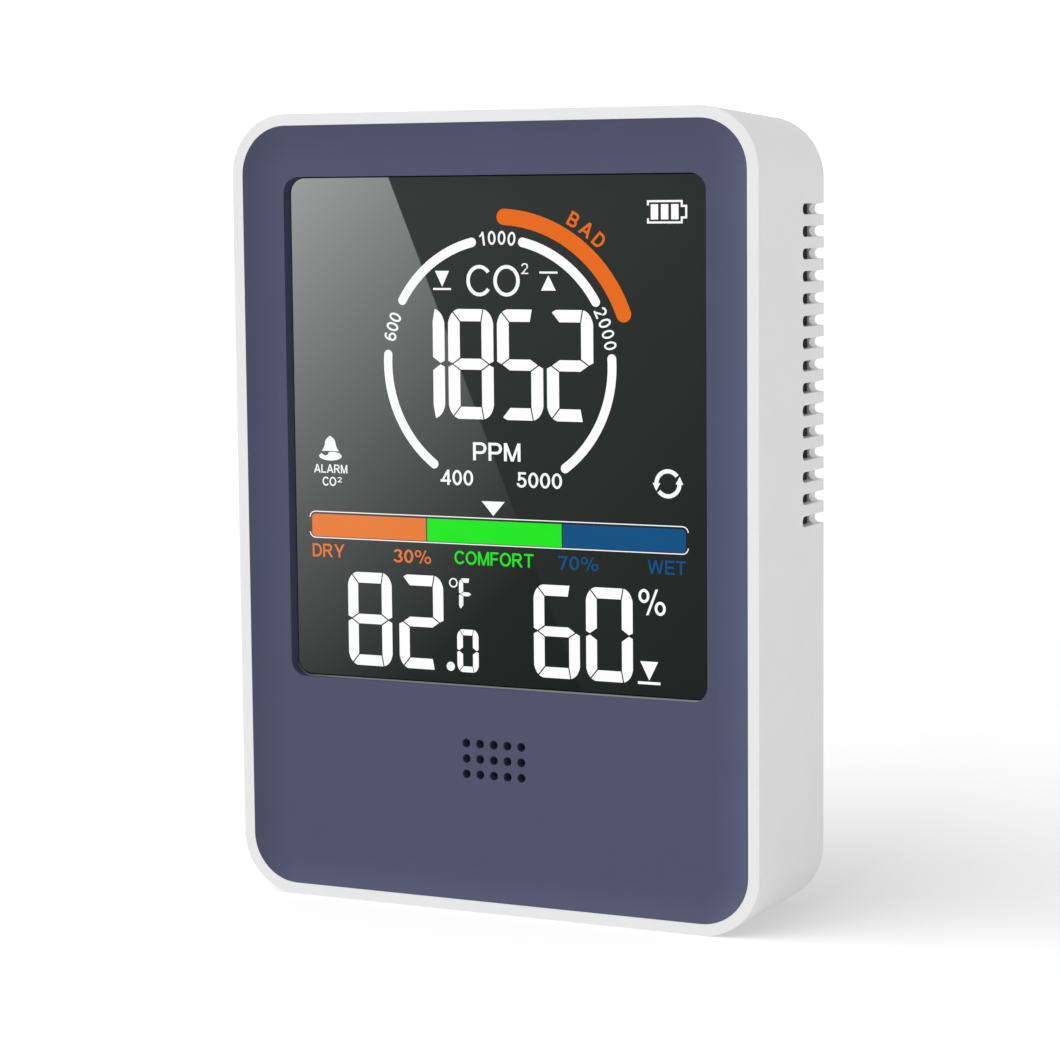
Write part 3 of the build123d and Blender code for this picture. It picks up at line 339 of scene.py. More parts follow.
def printed_ink(name, colour):
    """Pad-printed ink on a moulded part."""
    material = new_material(name, colour, 0.5)
    vary_colour(material, colour, 0.08, size=0.8)
    bump(material, noise(material, 0.2), 0.003)
    return material


FINISHES = {
    "white_shell": moulded_plastic("white_shell", (0.735, 0.735, 0.735), 0.42, mottle=0.008),
    "button_grey": moulded_plastic("button_grey", (0.55, 0.56, 0.58), 0.45, grain=0.18),
    "blue_grey_fascia": moulded_plastic("blue_grey_fascia", (0.0585, 0.066, 0.122), 0.5, sheen=0.3),
    "white_frame": moulded_plastic("white_frame", (0.78, 0.78, 0.76), 0.4),
    "black_plastic": moulded_plastic("black_plastic", (0.03, 0.03, 0.03), 0.45),
    "chip_black": moulded_plastic("chip_black", (0.03, 0.03, 0.03), 0.6, grain=0.12),
    "connector_white": moulded_plastic("connector_white", (0.8, 0.78, 0.72), 0.4),
    "contact_rubber": moulded_plastic("contact_rubber", (0.1, 0.1, 0.11), 0.8, mottle=0.1),
    "black_adhesive": moulded_plastic(
        "black_adhesive", (0.02, 0.02, 0.02), 0.85, grain=0.6, relief=0.05
    ),
    "lead_red": moulded_plastic("lead_red", (0.6, 0.03, 0.03), 0.4),
    "lead_black": moulded_plastic("lead_black", (0.03, 0.03, 0.03), 0.4),
    "ceramic_tan": moulded_plastic("ceramic_tan", (0.45, 0.34, 0.22), 0.5, mottle=0.2),
    "lamp_yellow": moulded_plastic("lamp_yellow", (0.85, 0.75, 0.25), 0.3, mottle=0.1),
    "diffuser_film": moulded_plastic("diffuser_film", (0.85, 0.85, 0.85), 0.6, grain=0.1),
    "filter_white": moulded_plastic(
        "filter_white", (0.85, 0.85, 0.85), 0.9, grain=0.3, relief=0.04
    ),
    "polariser_film": moulded_plastic("polariser_film", (0.02, 0.022, 0.02), 0.25, relief=0.001),
    "smoked_window": smoked_window("smoked_window"),
    "display_glass": clear_sheet("display_glass", (0.5, 0.55, 0.52), 0.02, 0.6),
    "clear_acrylic": clear_sheet("clear_acrylic", (0.9, 0.92, 0.92), 0.08, 0.9),
    "board_green": circuit_board("board_green"),
    "gold_metal": worked_metal("gold_metal", (0.8, 0.6, 0.25), 0.3),
    "port_steel": worked_metal("port_steel", (0.62, 0.62, 0.62), 0.3, stretch=(0.1, 1.0, 1.0)),
    "screw_steel": worked_metal("screw_steel", (0.45, 0.45, 0.46), 0.35, stretch=(1.0, 0.1, 1.0)),
    "battery_foil": foil_pouch("battery_foil"),
    "label_silver": label_film("label_silver"),
}
# The vent dust screens are a real woven screen, and their near-black tone is also painted shade for
# the dark inside of the side slots.
VENT_MESH_AND_SHADE = woven_mesh("vent_mesh_and_painted_shade", (0.045, 0.045, 0.045), pitch=0.4, across="Y")
GRILLE_CLOTH = woven_mesh("grille_cloth", (0.02, 0.02, 0.022), pitch=0.3, across="X")

SLOTS_OF_NODES = {
    "white_shell": ("rear_shell",),
    "blue_grey_fascia": ("front_fascia",),
    "smoked_window": ("display_window",),
    "black_adhesive": ("window_tape", "buzzer_gasket", "battery_tape"),
    "polariser_film": ("lcd_front_polariser", "lcd_rear_polariser"),
    "display_glass": ("lcd_front_glass", "lcd_rear_glass"),
    "diffuser_film": ("backlight_diffuser", "backlight_reflector"),
    "clear_acrylic": ("backlight_light_guide",),
    "board_green": ("backlight_led_strip", "main_pcb", "co2_sensor_board"),
    "lamp_yellow": ("backlight_leds",),
    "white_frame": ("backlight_frame",),
    "contact_rubber": ("lcd_contact_strips",),
    "chip_black": ("mcu_chip", "humidity_sensor"),
    "ceramic_tan": ("surface_mount_parts",),
    "screw_steel": ("pcb_screws", "housing_screws"),
    "gold_metal": ("co2_sensor_chamber", "co2_sensor_pins", "buzzer_disc"),
    "filter_white": ("co2_sensor_filters",),
    "black_plastic": (
        "co2_sensor_headers",
        "buzzer_case",
        "buzzer_base",
        "usb_c_tongue",
        "switch_bodies",
        "switch_plunger_left",
        "switch_plunger_middle",
        "switch_plunger_right",
    ),
    "battery_foil": ("battery_cell",),
    "lead_red": ("battery_lead_red",),
    "lead_black": ("battery_lead_black",),
    "connector_white": ("battery_plug", "battery_socket"),
    "port_steel": ("usb_c_shell", "switch_covers", "switch_domes"),
    "button_grey": ("button_left", "button_middle", "button_right"),
    "label_silver": ("rating_label",),
}


def finish_node(name, material):
    mesh = frame["nodes"][name].data
    mesh.materials.clear()
    mesh.materials.append(material)


for slot_name, node_names in SLOTS_OF_NODES.items():
    for node_name in node_names:
        finish_node(node_name, FINISHES[slot_name])
# Vent screens: a dust screen whose dark tone also paints the shade inside the slots.
finish_node("vent_dust_screens", VENT_MESH_AND_SHADE)
finish_node("grille_mesh", GRILLE_CLOTH)


# ---------------------------------------------------------------- flat shapes
def point_at(centre, radius, angle):
    turn = math.radians(angle)
    return (centre[0] + radius * math.cos(turn), centre[1] + radius * math.sin(turn))


def arc(centre, radius, start, end, step=3.0):
    """Points along an arc from one angle to the other, in degrees, either way round."""
    count = max(2, round(abs(end - start) / step))
    return [point_at(centre, radius, start + (end - start) * i / count) for i in range(count + 1)]


def bar(left, right, bottom, top):
    return [(left, bottom), (right, bottom), (right, top), (left, top)]


def arc_stroke(centre, radius, width, start, end, round_ends=True):
    """A thick arc, anticlockwise from start to end, with round or square ends."""
    outer = arc(centre, radius + width / 2, start, end)
    inner = arc(centre, radius - width / 2, end, start)
    if not round_ends:
        return outer + inner
    last_end, first_end = point_at(centre, radius, end), point_at(centre, radius, start)
    last_cap = arc(last_end, width / 2, end, end + 180.0, step=15.0)
    first_cap = arc(first_end, width / 2, start + 180.0, start + 360.0, step=15.0)
    return outer[:-1] + last_cap[:-1] + inner[:-1] + first_cap[:-1]


def edge_normals(points, closed):
    """The unit normal to the right of each edge."""
    count = len(points) if closed else len(points) - 1
    normals = []
    for i in range(count):
        (x0, z0), (x1, z1) = points[i], points[(i + 1) % len(points)]
        length = math.hypot(x1 - x0, z1 - z0)
        normals.append(((z1 - z0) / length, (x0 - x1) / length))
    return normals


def shifted(points, distance, closed):
    """The line moved sideways to its right by distance, with mitred corners."""
    normals = edge_normals(points, closed)
    moved = []
    for i, (x, z) in enumerate(points):
        before = normals[i - 1] if closed or i > 0 else normals[0]
        after = normals[i] if i < len(normals) else normals[-1]
        share = distance / (1.0 + before[0] * after[0] + before[1] * after[1])
        moved.append((x + share * (before[0] + after[0]), z + share * (before[1] + after[1])))
    return moved


def line_stroke(points, width):
    """A thick open line with mitred corners and square ends."""
    return shifted(points, width / 2, False) + shifted(points, -width / 2, False)[::-1]


def anticlockwise(outline):
    area = sum(x0 * z1 - x1 * z0 for (x0, z0), (x1, z1) in zip(outline, outline[1:] + outline[:1]))
    return outline if area > 0 else outline[::-1]


def narrowed(outline, gap):
    """A closed outline pulled in by gap on every side."""
    return shifted(anticlockwise(outline), -gap, True)


def moved_to(outline, x, z):
    return [(px + x, pz + z) for px, pz in outline]


def down_triangle(left, right, top, tip):
    return [(left, top), ((left + right) / 2, tip), (right, top)]


def slant(foot, head, width):
    """A straight stroke between two levels, with level ends centred on foot and head."""
    (x0, z0), (x1, z1) = foot, head
    half = width / 2 * math.hypot(x1 - x0, z1 - z0) / abs(z1 - z0)
    return [(x0 - half, z0), (x0 + half, z0), (x1 + half, z1), (x1 - half, z1)]


def bowl(left, right, bottom, top, start, end, width):
    """A stroke along the inside of an ellipse that fills the given box."""
    middle = ((left + right) / 2, (bottom + top) / 2)
    reach = ((right - left) / 2, (top - bottom) / 2)

    def ellipse(inset, first, last):
        return [
            (middle[0] + (reach[0] - inset) * x, middle[1] + (reach[1] - 0.92 * inset) * z)
            for x, z in arc((0.0, 0.0), 1.0, first, last, step=9.0)
        ]

    return ellipse(0.0, start, end) + ellipse(width, end, start)


def ring(left, right, bottom, top, width):
    """A whole elliptical ring, as two strokes that overlap a little."""
    return [bowl(left, right, bottom, top, start, start + 184.0, width) for start in (-92.0, 88.0)]


# ---------------------------------------------------------------- letters
def letter_strokes(letter, t):
    """The width of one plain sans letter that is one unit high, and its strokes of thickness t."""
    b = 0.88 * t
    low, high = (0.0, b), (1.0 - b, 1.0)
    stem = bar(0.0, t, 0.0, 1.0)
    glyphs = {
        "0": (0.7, ring(0.0, 0.7, 0.0, 1.0, t)),
        "1": (0.42, [bar(0.42 - t, 0.42, 0.0, 1.0), slant((0.04, 0.66), (0.34, 0.93), t * 0.8)]),
        "2": (
            0.7,
            [
                bowl(0.01, 0.69, 0.4, 1.0, -32.0, 172.0, t),
                slant((0.15, b * 0.7), (0.52, 0.52), t * 0.9),
                bar(0.0, 0.7, *low),
            ],
        ),
        "3": (
            0.7,
            [
                bowl(0.02, 0.66, 0.46, 1.0, -80.0, 168.0, t),
                bowl(0.0, 0.7, 0.0, 0.56, -170.0, 80.0, t),
            ],
        ),
        "4": (
            0.76,
            [
                bar(0.66 - t, 0.66, 0.0, 1.0),
                bar(0.0, 0.76, 0.2, 0.2 + b),
                slant((0.11, 0.24), (0.56, 0.96), t * 0.85),
            ],
        ),
        "5": (
            0.7,
            [
                bar(0.12, 0.66, *high),
                slant((0.1 + t / 2, 0.44), (0.14 + t / 2, 0.98), t * 0.9),
                bowl(0.0, 0.7, 0.0, 0.68, -168.0, 132.0, t),
            ],
        ),
        "6": (
            0.7,
            ring(0.0, 0.7, 0.0, 0.64, t) + [bowl(0.0, 0.76, 0.0, 1.0, 58.0, 200.0, t)],
        ),
        "7": (0.68, [bar(0.0, 0.68, *high), slant((0.24, 0.0), (0.58, 0.95), t)]),
        "%": (
            1.24,
            ring(0.0, 0.5, 0.46, 1.0, t * 0.72)
            + ring(0.74, 1.24, 0.0, 0.54, t * 0.72)
            + [slant((0.4, 0.0), (0.84, 1.0), t * 0.62)],
        ),
        "A": (
            1.0,
            [
                slant((t * 0.55, 0.0), (0.5, 1.0), t),
                slant((1.0 - t * 0.55, 0.0), (0.5, 1.0), t),
                bar(0.22, 0.78, 0.23, 0.23 + b),
            ],
        ),
        "B": (
            0.83,
            [
                stem,
                bar(0.0, 0.5, *low),
                bar(0.0, 0.5, 0.5 - b / 2, 0.5 + b / 2),
                bar(0.0, 0.46, *high),
                bowl(0.16, 0.78, 0.5 - b / 2, 1.0, -90.0, 90.0, t),
                bowl(0.16, 0.83, 0.0, 0.5 + b / 2, -90.0, 90.0, t),
            ],
        ),
        "C": (0.87, [bowl(0.0, 0.95, 0.0, 1.0, 37.0, 323.0, t)]),
        "D": (
            0.85,
            [
                stem,
                bar(0.0, 0.4, *low),
                bar(0.0, 0.4, *high),
                bowl(-0.08, 0.85, 0.0, 1.0, -90.0, 90.0, t),
            ],
        ),
        "E": (
            0.76,
            [stem, bar(0.0, 0.76, *low), bar(0.0, 0.7, 0.43, 0.43 + b), bar(0.0, 0.74, *high)],
        ),
        "F": (0.7, [stem, bar(0.0, 0.63, 0.42, 0.42 + b), bar(0.0, 0.7, *high)]),
        "L": (0.7, [stem, bar(0.0, 0.7, *low)]),
        "M": (
            0.97,
            [
                stem,
                bar(0.97 - t, 0.97, 0.0, 1.0),
                slant((0.485, 0.0), (t * 0.62, 1.0), t * 0.85),
                slant((0.485, 0.0), (0.97 - t * 0.62, 1.0), t * 0.85),
            ],
        ),
        "O": (0.96, ring(0.0, 0.96, 0.0, 1.0, t)),
        "P": (
            0.8,
            [
                stem,
                bar(0.0, 0.48, 0.36, 0.36 + b),
                bar(0.0, 0.48, *high),
                bowl(0.16, 0.8, 0.36, 1.0, -90.0, 90.0, t),
            ],
        ),
        "R": (
            0.9,
            [
                stem,
                bar(0.0, 0.52, 0.42, 0.42 + b),
                bar(0.0, 0.52, *high),
                bowl(0.2, 0.82, 0.42, 1.0, -90.0, 90.0, t),
                slant((0.9 - t * 0.6, 0.0), (0.46, 0.46), t),
            ],
        ),
        "T": (0.82, [bar(0.41 - t / 2, 0.41 + t / 2, 0.0, 1.0), bar(0.0, 0.82, *high)]),
        "W": (
            1.32,
            [
                slant((0.35, 0.0), (t * 0.55, 1.0), t * 0.9),
                slant((0.35, 0.0), (0.66, 1.0), t * 0.9),
                slant((0.97, 0.0), (0.66, 1.0), t * 0.9),
                slant((0.97, 0.0), (1.32 - t * 0.55, 1.0), t * 0.9),
            ],
        ),
        "Y": (
            0.94,
            [
                bar(0.47 - t / 2, 0.47 + t / 2, 0.0, 0.48),
                slant((0.47, 0.38), (t * 0.6, 1.0), t),
                slant((0.47, 0.38), (0.94 - t * 0.6, 1.0), t),
            ],
        ),
    }
    return glyphs[letter]


def lettering(text, cap_height, centre, width=None, weight=BOLD):
    """The outlines of a word centred on a point, stretched to width if one is given."""
    letters = [letter_strokes(letter, weight) for letter in text]
    natural = sum(letter_width for letter_width, _ in letters) + LETTER_SPACE * (len(text) - 1)
    stretch = (width or natural * cap_height) / natural
    outlines = []
    x = -natural / 2
    for letter_width, strokes in letters:
        for stroke in strokes:
            placed = [((x + px) * stretch, (pz - 0.5) * cap_height) for px, pz in stroke]
            outlines.append([(centre[0] + px, centre[1] + pz) for px, pz in placed])
        x += letter_width + LETTER_SPACE
    return outlines


def turned(outline, centre, angle):
    """An outline turned about a point, in degrees anticlockwise."""
    c, s = math.cos(math.radians(angle)), math.sin(math.radians(angle))
    return [
        (
            centre[0] + c * (x - centre[0]) - s * (z - centre[1]),
            centre[1] + s * (x - centre[0]) + c * (z - centre[1]),
        )
        for x, z in outline
    ]


def lettering_round(text, cap_height, radius, first_angle, last_angle, weight=BOLD):
    """Lettering along a circle about the dial's centre, reading clockwise with its feet inwards."""
    outlines = []
    for i, letter in enumerate(text):
        angle = first_angle + (last_angle - first_angle) * i / (len(text) - 1)
        centre = point_at(DIAL, radius, angle)
        width = DIAL_LETTER_SQUEEZE * cap_height * letter_strokes(letter, weight)[0]
        upright = lettering(letter, cap_height, centre, width=width, weight=weight)
        outlines += [turned(outline, centre, angle - 90.0) for outline in upright]
    return outlines


# ---------------------------------------------------------------- solid artwork
def on_lens(x, z, proud):
    """A place given in millimetres from the middle of the artwork, this far out of the window."""
    across = LENS_MIDDLE.x + (x + ART_MIDDLE[0]) * MM
    return Vector((across, LENS_FACE - proud * MM, LENS_MIDDLE.z + (z + ART_MIDDLE[1]) * MM))


def on_rear_of(node):
    """Makes a place on a node's rear face, in millimetres from its middle, seen from behind."""
    low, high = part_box(node)
    middle = (low + high) / 2
    return lambda x, z, proud: Vector((middle.x - x * MM, high.y + proud * MM, middle.z + z * MM))


def add_plates(shape, outlines, place, sunk, proud):
    """Adds closed flat plates, which cover everything that is inside any of the outlines."""
    corners = []
    rings = []
    for outline in outlines:
        rings.append(list(range(len(corners), len(corners) + len(outline))))
        corners += [Vector(point) for point in anticlockwise(outline)]
    flat, _, triangles, _, _, owners = delaunay_2d_cdt(corners, [], rings, 1, CORNER_MERGE)
    covered = [triangle for triangle, owner in zip(triangles, owners) if owner]
    front = [shape.verts.new(place(x, z, proud)) for x, z in flat]
    back = [shape.verts.new(place(x, z, -sunk)) for x, z in flat]
    sides = {(a, b) for triangle in covered for a, b in zip(triangle, triangle[1:] + triangle[:1])}
    for triangle in covered:
        shape.faces.new([front[i] for i in triangle])
        shape.faces.new([back[i] for i in reversed(triangle)])
    for a, b in sides:
        if (b, a) not in sides:
            shape.faces.new((front[a], back[a], back[b], front[b]))
    unused = [vertex for vertex in front + back if not vertex.link_faces]
    bmesh.ops.delete(shape, geom=unused, context="VERTS")


def add_piece(name, shape, material, body):
    """A piece with this shape, riding on a body."""
    bmesh.ops.recalc_face_normals(shape, faces=shape.faces)
    mesh = bpy.data.meshes.new(name)
    shape.to_mesh(mesh)
    shape.free()
    mesh.materials.append(material)
    piece = bpy.data.objects.new(name, mesh)
    bpy.context.scene.collection.objects.link(piece)
    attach(piece, body)


def flat_piece(name, outlines, material, place, proud=ART_PROUD, body=HOUSING):
    """A piece of thin plates on one face of the object."""
    shape = bmesh.new()
    add_plates(shape, outlines, place, ART_SUNK, proud)
    add_piece(name, shape, material, body)


def lit_piece(name, outlines, material):
    """A lit part of the display."""
    flat_piece(name, outlines, material, on_lens)


# ---------------------------------------------------------------- seven-segment digits
LIT_SEGMENTS = {
    "0": "abcdef",
    "1": "bc",
    "2": "abdeg",
    "5": "acdfg",
    "6": "acdefg",
    "8": "abcdefg",
    "F": "aefg",
}


def corner_curve(start, control, end, count=8):
    """Points of a quadratic curve, which rounds off a digit's outer corner."""
    points = []
    for i in range(count + 1):
        t = i / count
        near, pull, far = (1 - t) ** 2, 2 * t * (1 - t), t**2
        points.append(tuple(near * a + pull * b + far * c for a, b, c in zip(start, control, end)))
    return points


def segment_outlines(width, height, stroke):
    """The seven segments of a digit from its lower left corner, keyed by their usual letters."""
    level_bar = 0.94 * stroke
    half_bar = 0.43 * stroke
    middle = height / 2
    tip = 0.37 * stroke
    shoulder = middle + 0.18 * stroke
    corner_x = 0.82 * stroke
    corner_z = 1.02 * stroke
    bulge = 0.17 * stroke
    left = corner_curve((0.0, height - corner_z), (bulge, height - bulge), (corner_x, height))
    right = [(width - x, z) for x, z in left]
    cut = 5
    upper = {
        "f": [
            (stroke, height - level_bar),
            (stroke, middle + half_bar),
            (tip, middle),
            (0.0, shoulder),
        ]
        + left[: cut + 1],
        "a": left[cut:]
        + [right[-1], (width - stroke, height - level_bar), (stroke, height - level_bar)],
        "b": right
        + [
            (width - stroke, height - level_bar),
            (width - stroke, middle + half_bar),
            (width - tip, middle),
            (width, shoulder),
        ],
    }
    lower = {
        letter: [(x, height - z) for x, z in upper[source]]
        for letter, source in (("e", "f"), ("d", "a"), ("c", "b"))
    }
    middle_bar = [
        (tip, middle),
        (stroke, middle + half_bar),
        (width - stroke, middle + half_bar),
        (width - tip, middle),
        (width - stroke, middle - half_bar),
        (stroke, middle - half_bar),
    ]
    return {**upper, **lower, "g": middle_bar}


def digit(character, left, bottom, width, height, stroke, gap=SEGMENT_GAP):
    """The lit segments of one digit, with dark gaps between them and its own size kept."""
    segments = segment_outlines(width + gap, height + gap, stroke + gap)
    return [
        moved_to(narrowed(segments[letter], gap / 2), left - gap / 2, bottom - gap / 2)
        for letter in LIT_SEGMENTS[character]
    ]


def number(characters, left, bottom, width, height, stroke, pitch):
    outlines = []
    for i, character in enumerate(characters):
        outlines += digit(character, left + i * pitch, bottom, width, height, stroke)
    return outlines


# ---------------------------------------------------------------- display artwork
def dial_artwork(white, orange):
    """The broken ring round the reading, its scale numbers, and the alert sector outside it."""
    ring_arcs = ((176.0, 234.0), (103.0, 149.4), (30.5, 77.0), (-54.2, 3.6))
    lit_piece(
        "lit_dial_ring",
        [arc_stroke(DIAL, DIAL_RADIUS, DIAL_STROKE, start, end) for start, end in ring_arcs],
        white,
    )
    numbers = lettering_round("600", 2.05, DIAL_RADIUS, 167.4, 158.2)
    numbers += lettering_round("1000", 2.05, DIAL_RADIUS + 0.2, 97.6, 82.6)
    numbers += lettering_round("2000", 2.0, DIAL_RADIUS, 25.2, 9.6)
    numbers += lettering("400", 2.3, (-6.85, -6.87), width=5.5)
    numbers += lettering("5000", 2.3, (6.9, -6.87), width=7.5)
    lit_piece("lit_dial_numbers", numbers, white)

    alert_radius = 21.9
    alert_width = 2.4
    lit_piece("lit_alert_sector", [arc_stroke(DIAL, alert_radius, alert_width, 20.6, 86.9)], orange)
    word = lettering_round("BAD", 2.2, alert_radius + 2.9, 59.6, 47.9, weight=0.19)
    lit_piece("lit_alert_word", word, orange)


def reading_artwork(white):
    """The gas heading, the four-digit reading and its unit."""
    heading = lettering("CO", 4.65, (-0.42, 22.6), width=8.85, weight=0.125)
    heading += lettering("2", 1.6, (4.83, 24.4), width=1.15, weight=0.13)
    lit_piece("lit_gas_heading", heading, white)
    lit_piece("lit_reading", number("1852", -16.2, 1.98, 7.55, 16.4, 1.95, 8.18), white)
    lit_piece("lit_reading_unit", lettering("PPM", 2.7, (-0.1, -2.82), width=7.9), white)
    line = 0.3
    lowest_mark = [
        down_triangle(-10.1, -7.75, 24.03, 21.68),
        bar(-10.45, -7.45, 21.33 - line / 2, 21.33 + line / 2),
    ]
    highest_mark = [
        down_triangle(7.5, 9.9, 21.18, 23.43),
        bar(7.25, 10.2, 23.83 - line / 2, 23.83 + line / 2),
    ]
    lit_piece("lit_range_marks", lowest_mark + highest_mark, white)


def battery_artwork(white):
    """The battery outline, left open at its flat end, with three charge bars."""
    left, right, bottom, top = 24.75, 30.05, 31.08, 34.13
    stub = 0.6
    nub_right, nub_bottom, nub_top = 30.75, 31.78, 33.43
    outline = line_stroke(
        [
            (left, top - stub),
            (left, top),
            (right, top),
            (right, nub_top),
            (nub_right, nub_top),
            (nub_right, nub_bottom),
            (right, nub_bottom),
            (right, bottom),
            (left, bottom),
            (left, bottom + stub),
        ],
        0.3,
    )
    bar_width, bar_pitch = 1.15, 1.6
    starts = [25.2 + i * bar_pitch for i in range(3)]
    bars = [bar(start, start + bar_width, 31.5, 33.7) for start in starts]
    lit_piece("lit_battery", [outline] + bars, white)


def bell_artwork(white):
    """The alarm bell over its two lines of lettering."""
    middle = -28.6
    half_profile = [(0.1, -1.2), (0.32, -1.35), (0.62, -1.6), (0.88, -2.0)]
    half_profile += [(0.98, -2.6), (1.2, -3.1), (1.5, -3.5)]
    bell = [(middle + x, z) for x, z in half_profile]
    hem = [point_at((middle, -4.1), 1.62, angle) for angle in (68.0, 90.0, 112.0)]
    hem = [(x, -3.5 + 0.4 * (z + 4.1 - 1.5)) for x, z in hem]
    bell += hem + [(middle - x, z) for x, z in half_profile[::-1]]
    half_circle = arc((0.0, 0.0), 1.0, 180.0, 360.0, step=12.0)
    rim = [(middle + 2.0 * x, -4.22 + 0.72 * z) for x, z in half_circle]
    rim += [
        (middle + 1.6, -3.8),
        (middle + 0.8, -3.62),
        (middle, -3.6),
        (middle - 0.3, -3.72),
        (middle - 0.42, -4.02),
        (middle - 0.85, -4.22),
        (middle - 1.3, -4.05),
        (middle - 1.55, -3.82),
    ]
    words = lettering("ALARM", 1.3, (-28.6, -6.2), width=5.85)
    words += lettering("CO", 1.4, (-28.85, -8.15), width=2.4)
    words += lettering("2", 0.8, (-27.05, -7.85), width=0.75)
    lit_piece("lit_alarm_bell", [bell, rim] + words, white)


def refresh_artwork(white):
    """Two arc arrows that chase each other round a circle."""
    centre = (27.7, -6.67)
    radius, width = 1.82, 0.62
    half_head, head_length = 0.6, 1.15
    outlines = []
    for start, end in ((38.0, 178.0), (218.0, 358.0)):
        outlines.append(arc_stroke(centre, radius, width, start, end, round_ends=False))
        inner = point_at(centre, radius - half_head, end)
        outer = point_at(centre, radius + half_head, end)
        lead = math.degrees(math.atan(head_length / radius))
        tip = point_at(centre, math.hypot(radius, head_length), end + lead)
        outlines.append([inner, outer, tip])
    lit_piece("lit_refresh", outlines, white)


def comfort_bar_artwork(white, dry, comfort, wet):
    """The three-colour humidity bar in its thin outline, with the pointer over it."""
    low, high = -16.67, -13.22
    splits = (-32.0, -12.1, 10.6, 30.5)
    half_gap = 0.1
    corner = 0.6
    left_end = arc((splits[0] + corner, low + corner), corner, 270.0, 180.0, 15.0)
    left_end += arc((splits[0] + corner, high - corner), corner, 180.0, 90.0, 15.0)
    left_end += [(splits[1] - half_gap, high), (splits[1] - half_gap, low)]
    right_end = arc((splits[3] - corner, high - corner), corner, 90.0, 0.0, 15.0)
    right_end += arc((splits[3] - corner, low + corner), corner, 0.0, -90.0, 15.0)
    right_end += [(splits[2] + half_gap, low), (splits[2] + half_gap, high)]
    lit_piece("lit_bar_dry", [left_end], dry)
    middle_part = bar(splits[1] + half_gap, splits[2] - half_gap, low, high)
    lit_piece("lit_bar_comfort", [middle_part], comfort)
    lit_piece("lit_bar_wet", [right_end], wet)

    margin, line = 0.38, 0.15
    left, right = splits[0] - margin, splits[3] + margin
    bottom, top = low - margin / 2, high + margin
    turn = 0.95
    upper = arc((left + turn, top - turn), turn, 175.0, 90.0, 10.0)
    upper += arc((right - turn, top - turn), turn, 90.0, 5.0, 10.0)
    lower = arc((left + turn, bottom + turn), turn, 185.0, 270.0, 10.0)
    lower += arc((right - turn, bottom + turn), turn, 270.0, 355.0, 10.0)
    pointer = down_triangle(-2.7, 1.15, -10.27, -12.42)
    lines = [line_stroke(upper, line), line_stroke(lower, line)]
    lit_piece("lit_bar_outline", lines + [pointer], white)


def comfort_legend_artwork(orange, green, blue):
    """The words and limits under the humidity bar."""
    cap = 2.05
    line = -18.92
    legends = (
        ("lit_legend_dry", "DRY", (-29.2, line + 0.1), 5.6, orange),
        ("lit_limit_dry", "30%", (-14.62, line - 0.2), 6.45, orange),
        ("lit_legend_comfort", "COMFORT", (-0.77, line), 13.25, green),
        ("lit_limit_wet", "70%", (13.2, line - 0.05), 6.6, blue),
        ("lit_legend_wet", "WET", (27.45, line), 6.1, blue),
    )
    for name, text, centre, width, material in legends:
        lit_piece(name, lettering(text, cap, centre, width), material)


def temperature_artwork(white):
    """The temperature with its decimal point, small last digit and unit."""
    outlines = number("82", -25.85, -36.25, 7.6, 14.35, 1.75, 8.85)
    point_disc = arc((-8.25, -35.55), 0.7, 0.0, 345.0, 15.0)
    outlines.append(point_disc)
    outlines += digit("0", -7.1, -36.3, 3.6, 6.5, 0.95, gap=0.12)
    outlines += digit("F", -6.7, -26.85, 2.4, 4.8, 0.7, gap=0.1)
    degree_ring = ring(-8.38, -6.92, -23.53, -22.07, 0.22)
    lit_piece("lit_temperature", outlines + degree_ring, white)


def humidity_artwork(white):
    """The relative humidity with its percent sign and lowest-value mark."""
    outlines = number("60", 5.8, -36.3, 7.55, 13.95, 1.75, 8.6)
    outlines.append(down_triangle(23.15, 26.0, -32.92, -35.72))
    outlines.append(bar(22.75, 26.35, -36.32, -35.92))
    outlines += lettering("%", 3.85, (25.08, -24.15), width=4.35)
    lit_piece("lit_humidity", outlines, white)


def lower_outline(inset):
    """Points along the window's lower edge and round its corners, this far inside its edge."""
    right = (lens_high.x - lens_low.x) / 2 / MM - inset
    low = -(lens_high.z - lens_low.z) / 2 / MM + inset
    turn = WINDOW_CORNER - inset
    points = arc((-right + turn, low + turn), turn, 200.0, 270.0, 7.0)
    points += arc((right - turn, low + turn), turn, 270.0, 350.0, 8.0)
    return points


def lip_depth(x):
    """How far the lip comes forward: next to nothing in the left corner, and more to the right."""
    half_width = (lens_high.x - lens_low.x) / 2 / MM
    corner_share = min((x + half_width) / WINDOW_CORNER, 1.0)
    width_share = (x + half_width) / (2 * half_width)
    return LIP_START + LIP_DEPTH * max(corner_share, 0.0) ** 2 + LIP_GROWTH * width_share


def window_lip():
    """The pale lip at the back of the opening's lower wall: a painted highlight that stands in for
    the light the edge catches.
    """
    shape = bmesh.new()
    skin, wall = ART_PROUD - WINDOW_GAP, -WINDOW_GAP - ART_SUNK
    section = ((skin, 0.0), (skin, 1.0), (wall, 1.0), (wall, 0.0))
    rows = []
    for inset, share in section:
        row = []
        for x, z in lower_outline(inset):
            depth = share * lip_depth(x)
            place = (LENS_MIDDLE.x + x * MM, LENS_FACE - depth * MM, LENS_MIDDLE.z + z * MM)
            row.append(shape.verts.new(place))
        rows.append(row)
    for one, other in zip(rows, rows[1:] + rows[:1]):
        for i in range(len(one) - 1):
            shape.faces.new((one[i], one[i + 1], other[i + 1], other[i]))
    shape.faces.new([row[0] for row in rows])
    shape.faces.new([row[-1] for row in rows])
    add_piece("window_lower_painted_highlight", shape, painted_highlight_lip("painted_highlight_lip"), HOUSING)


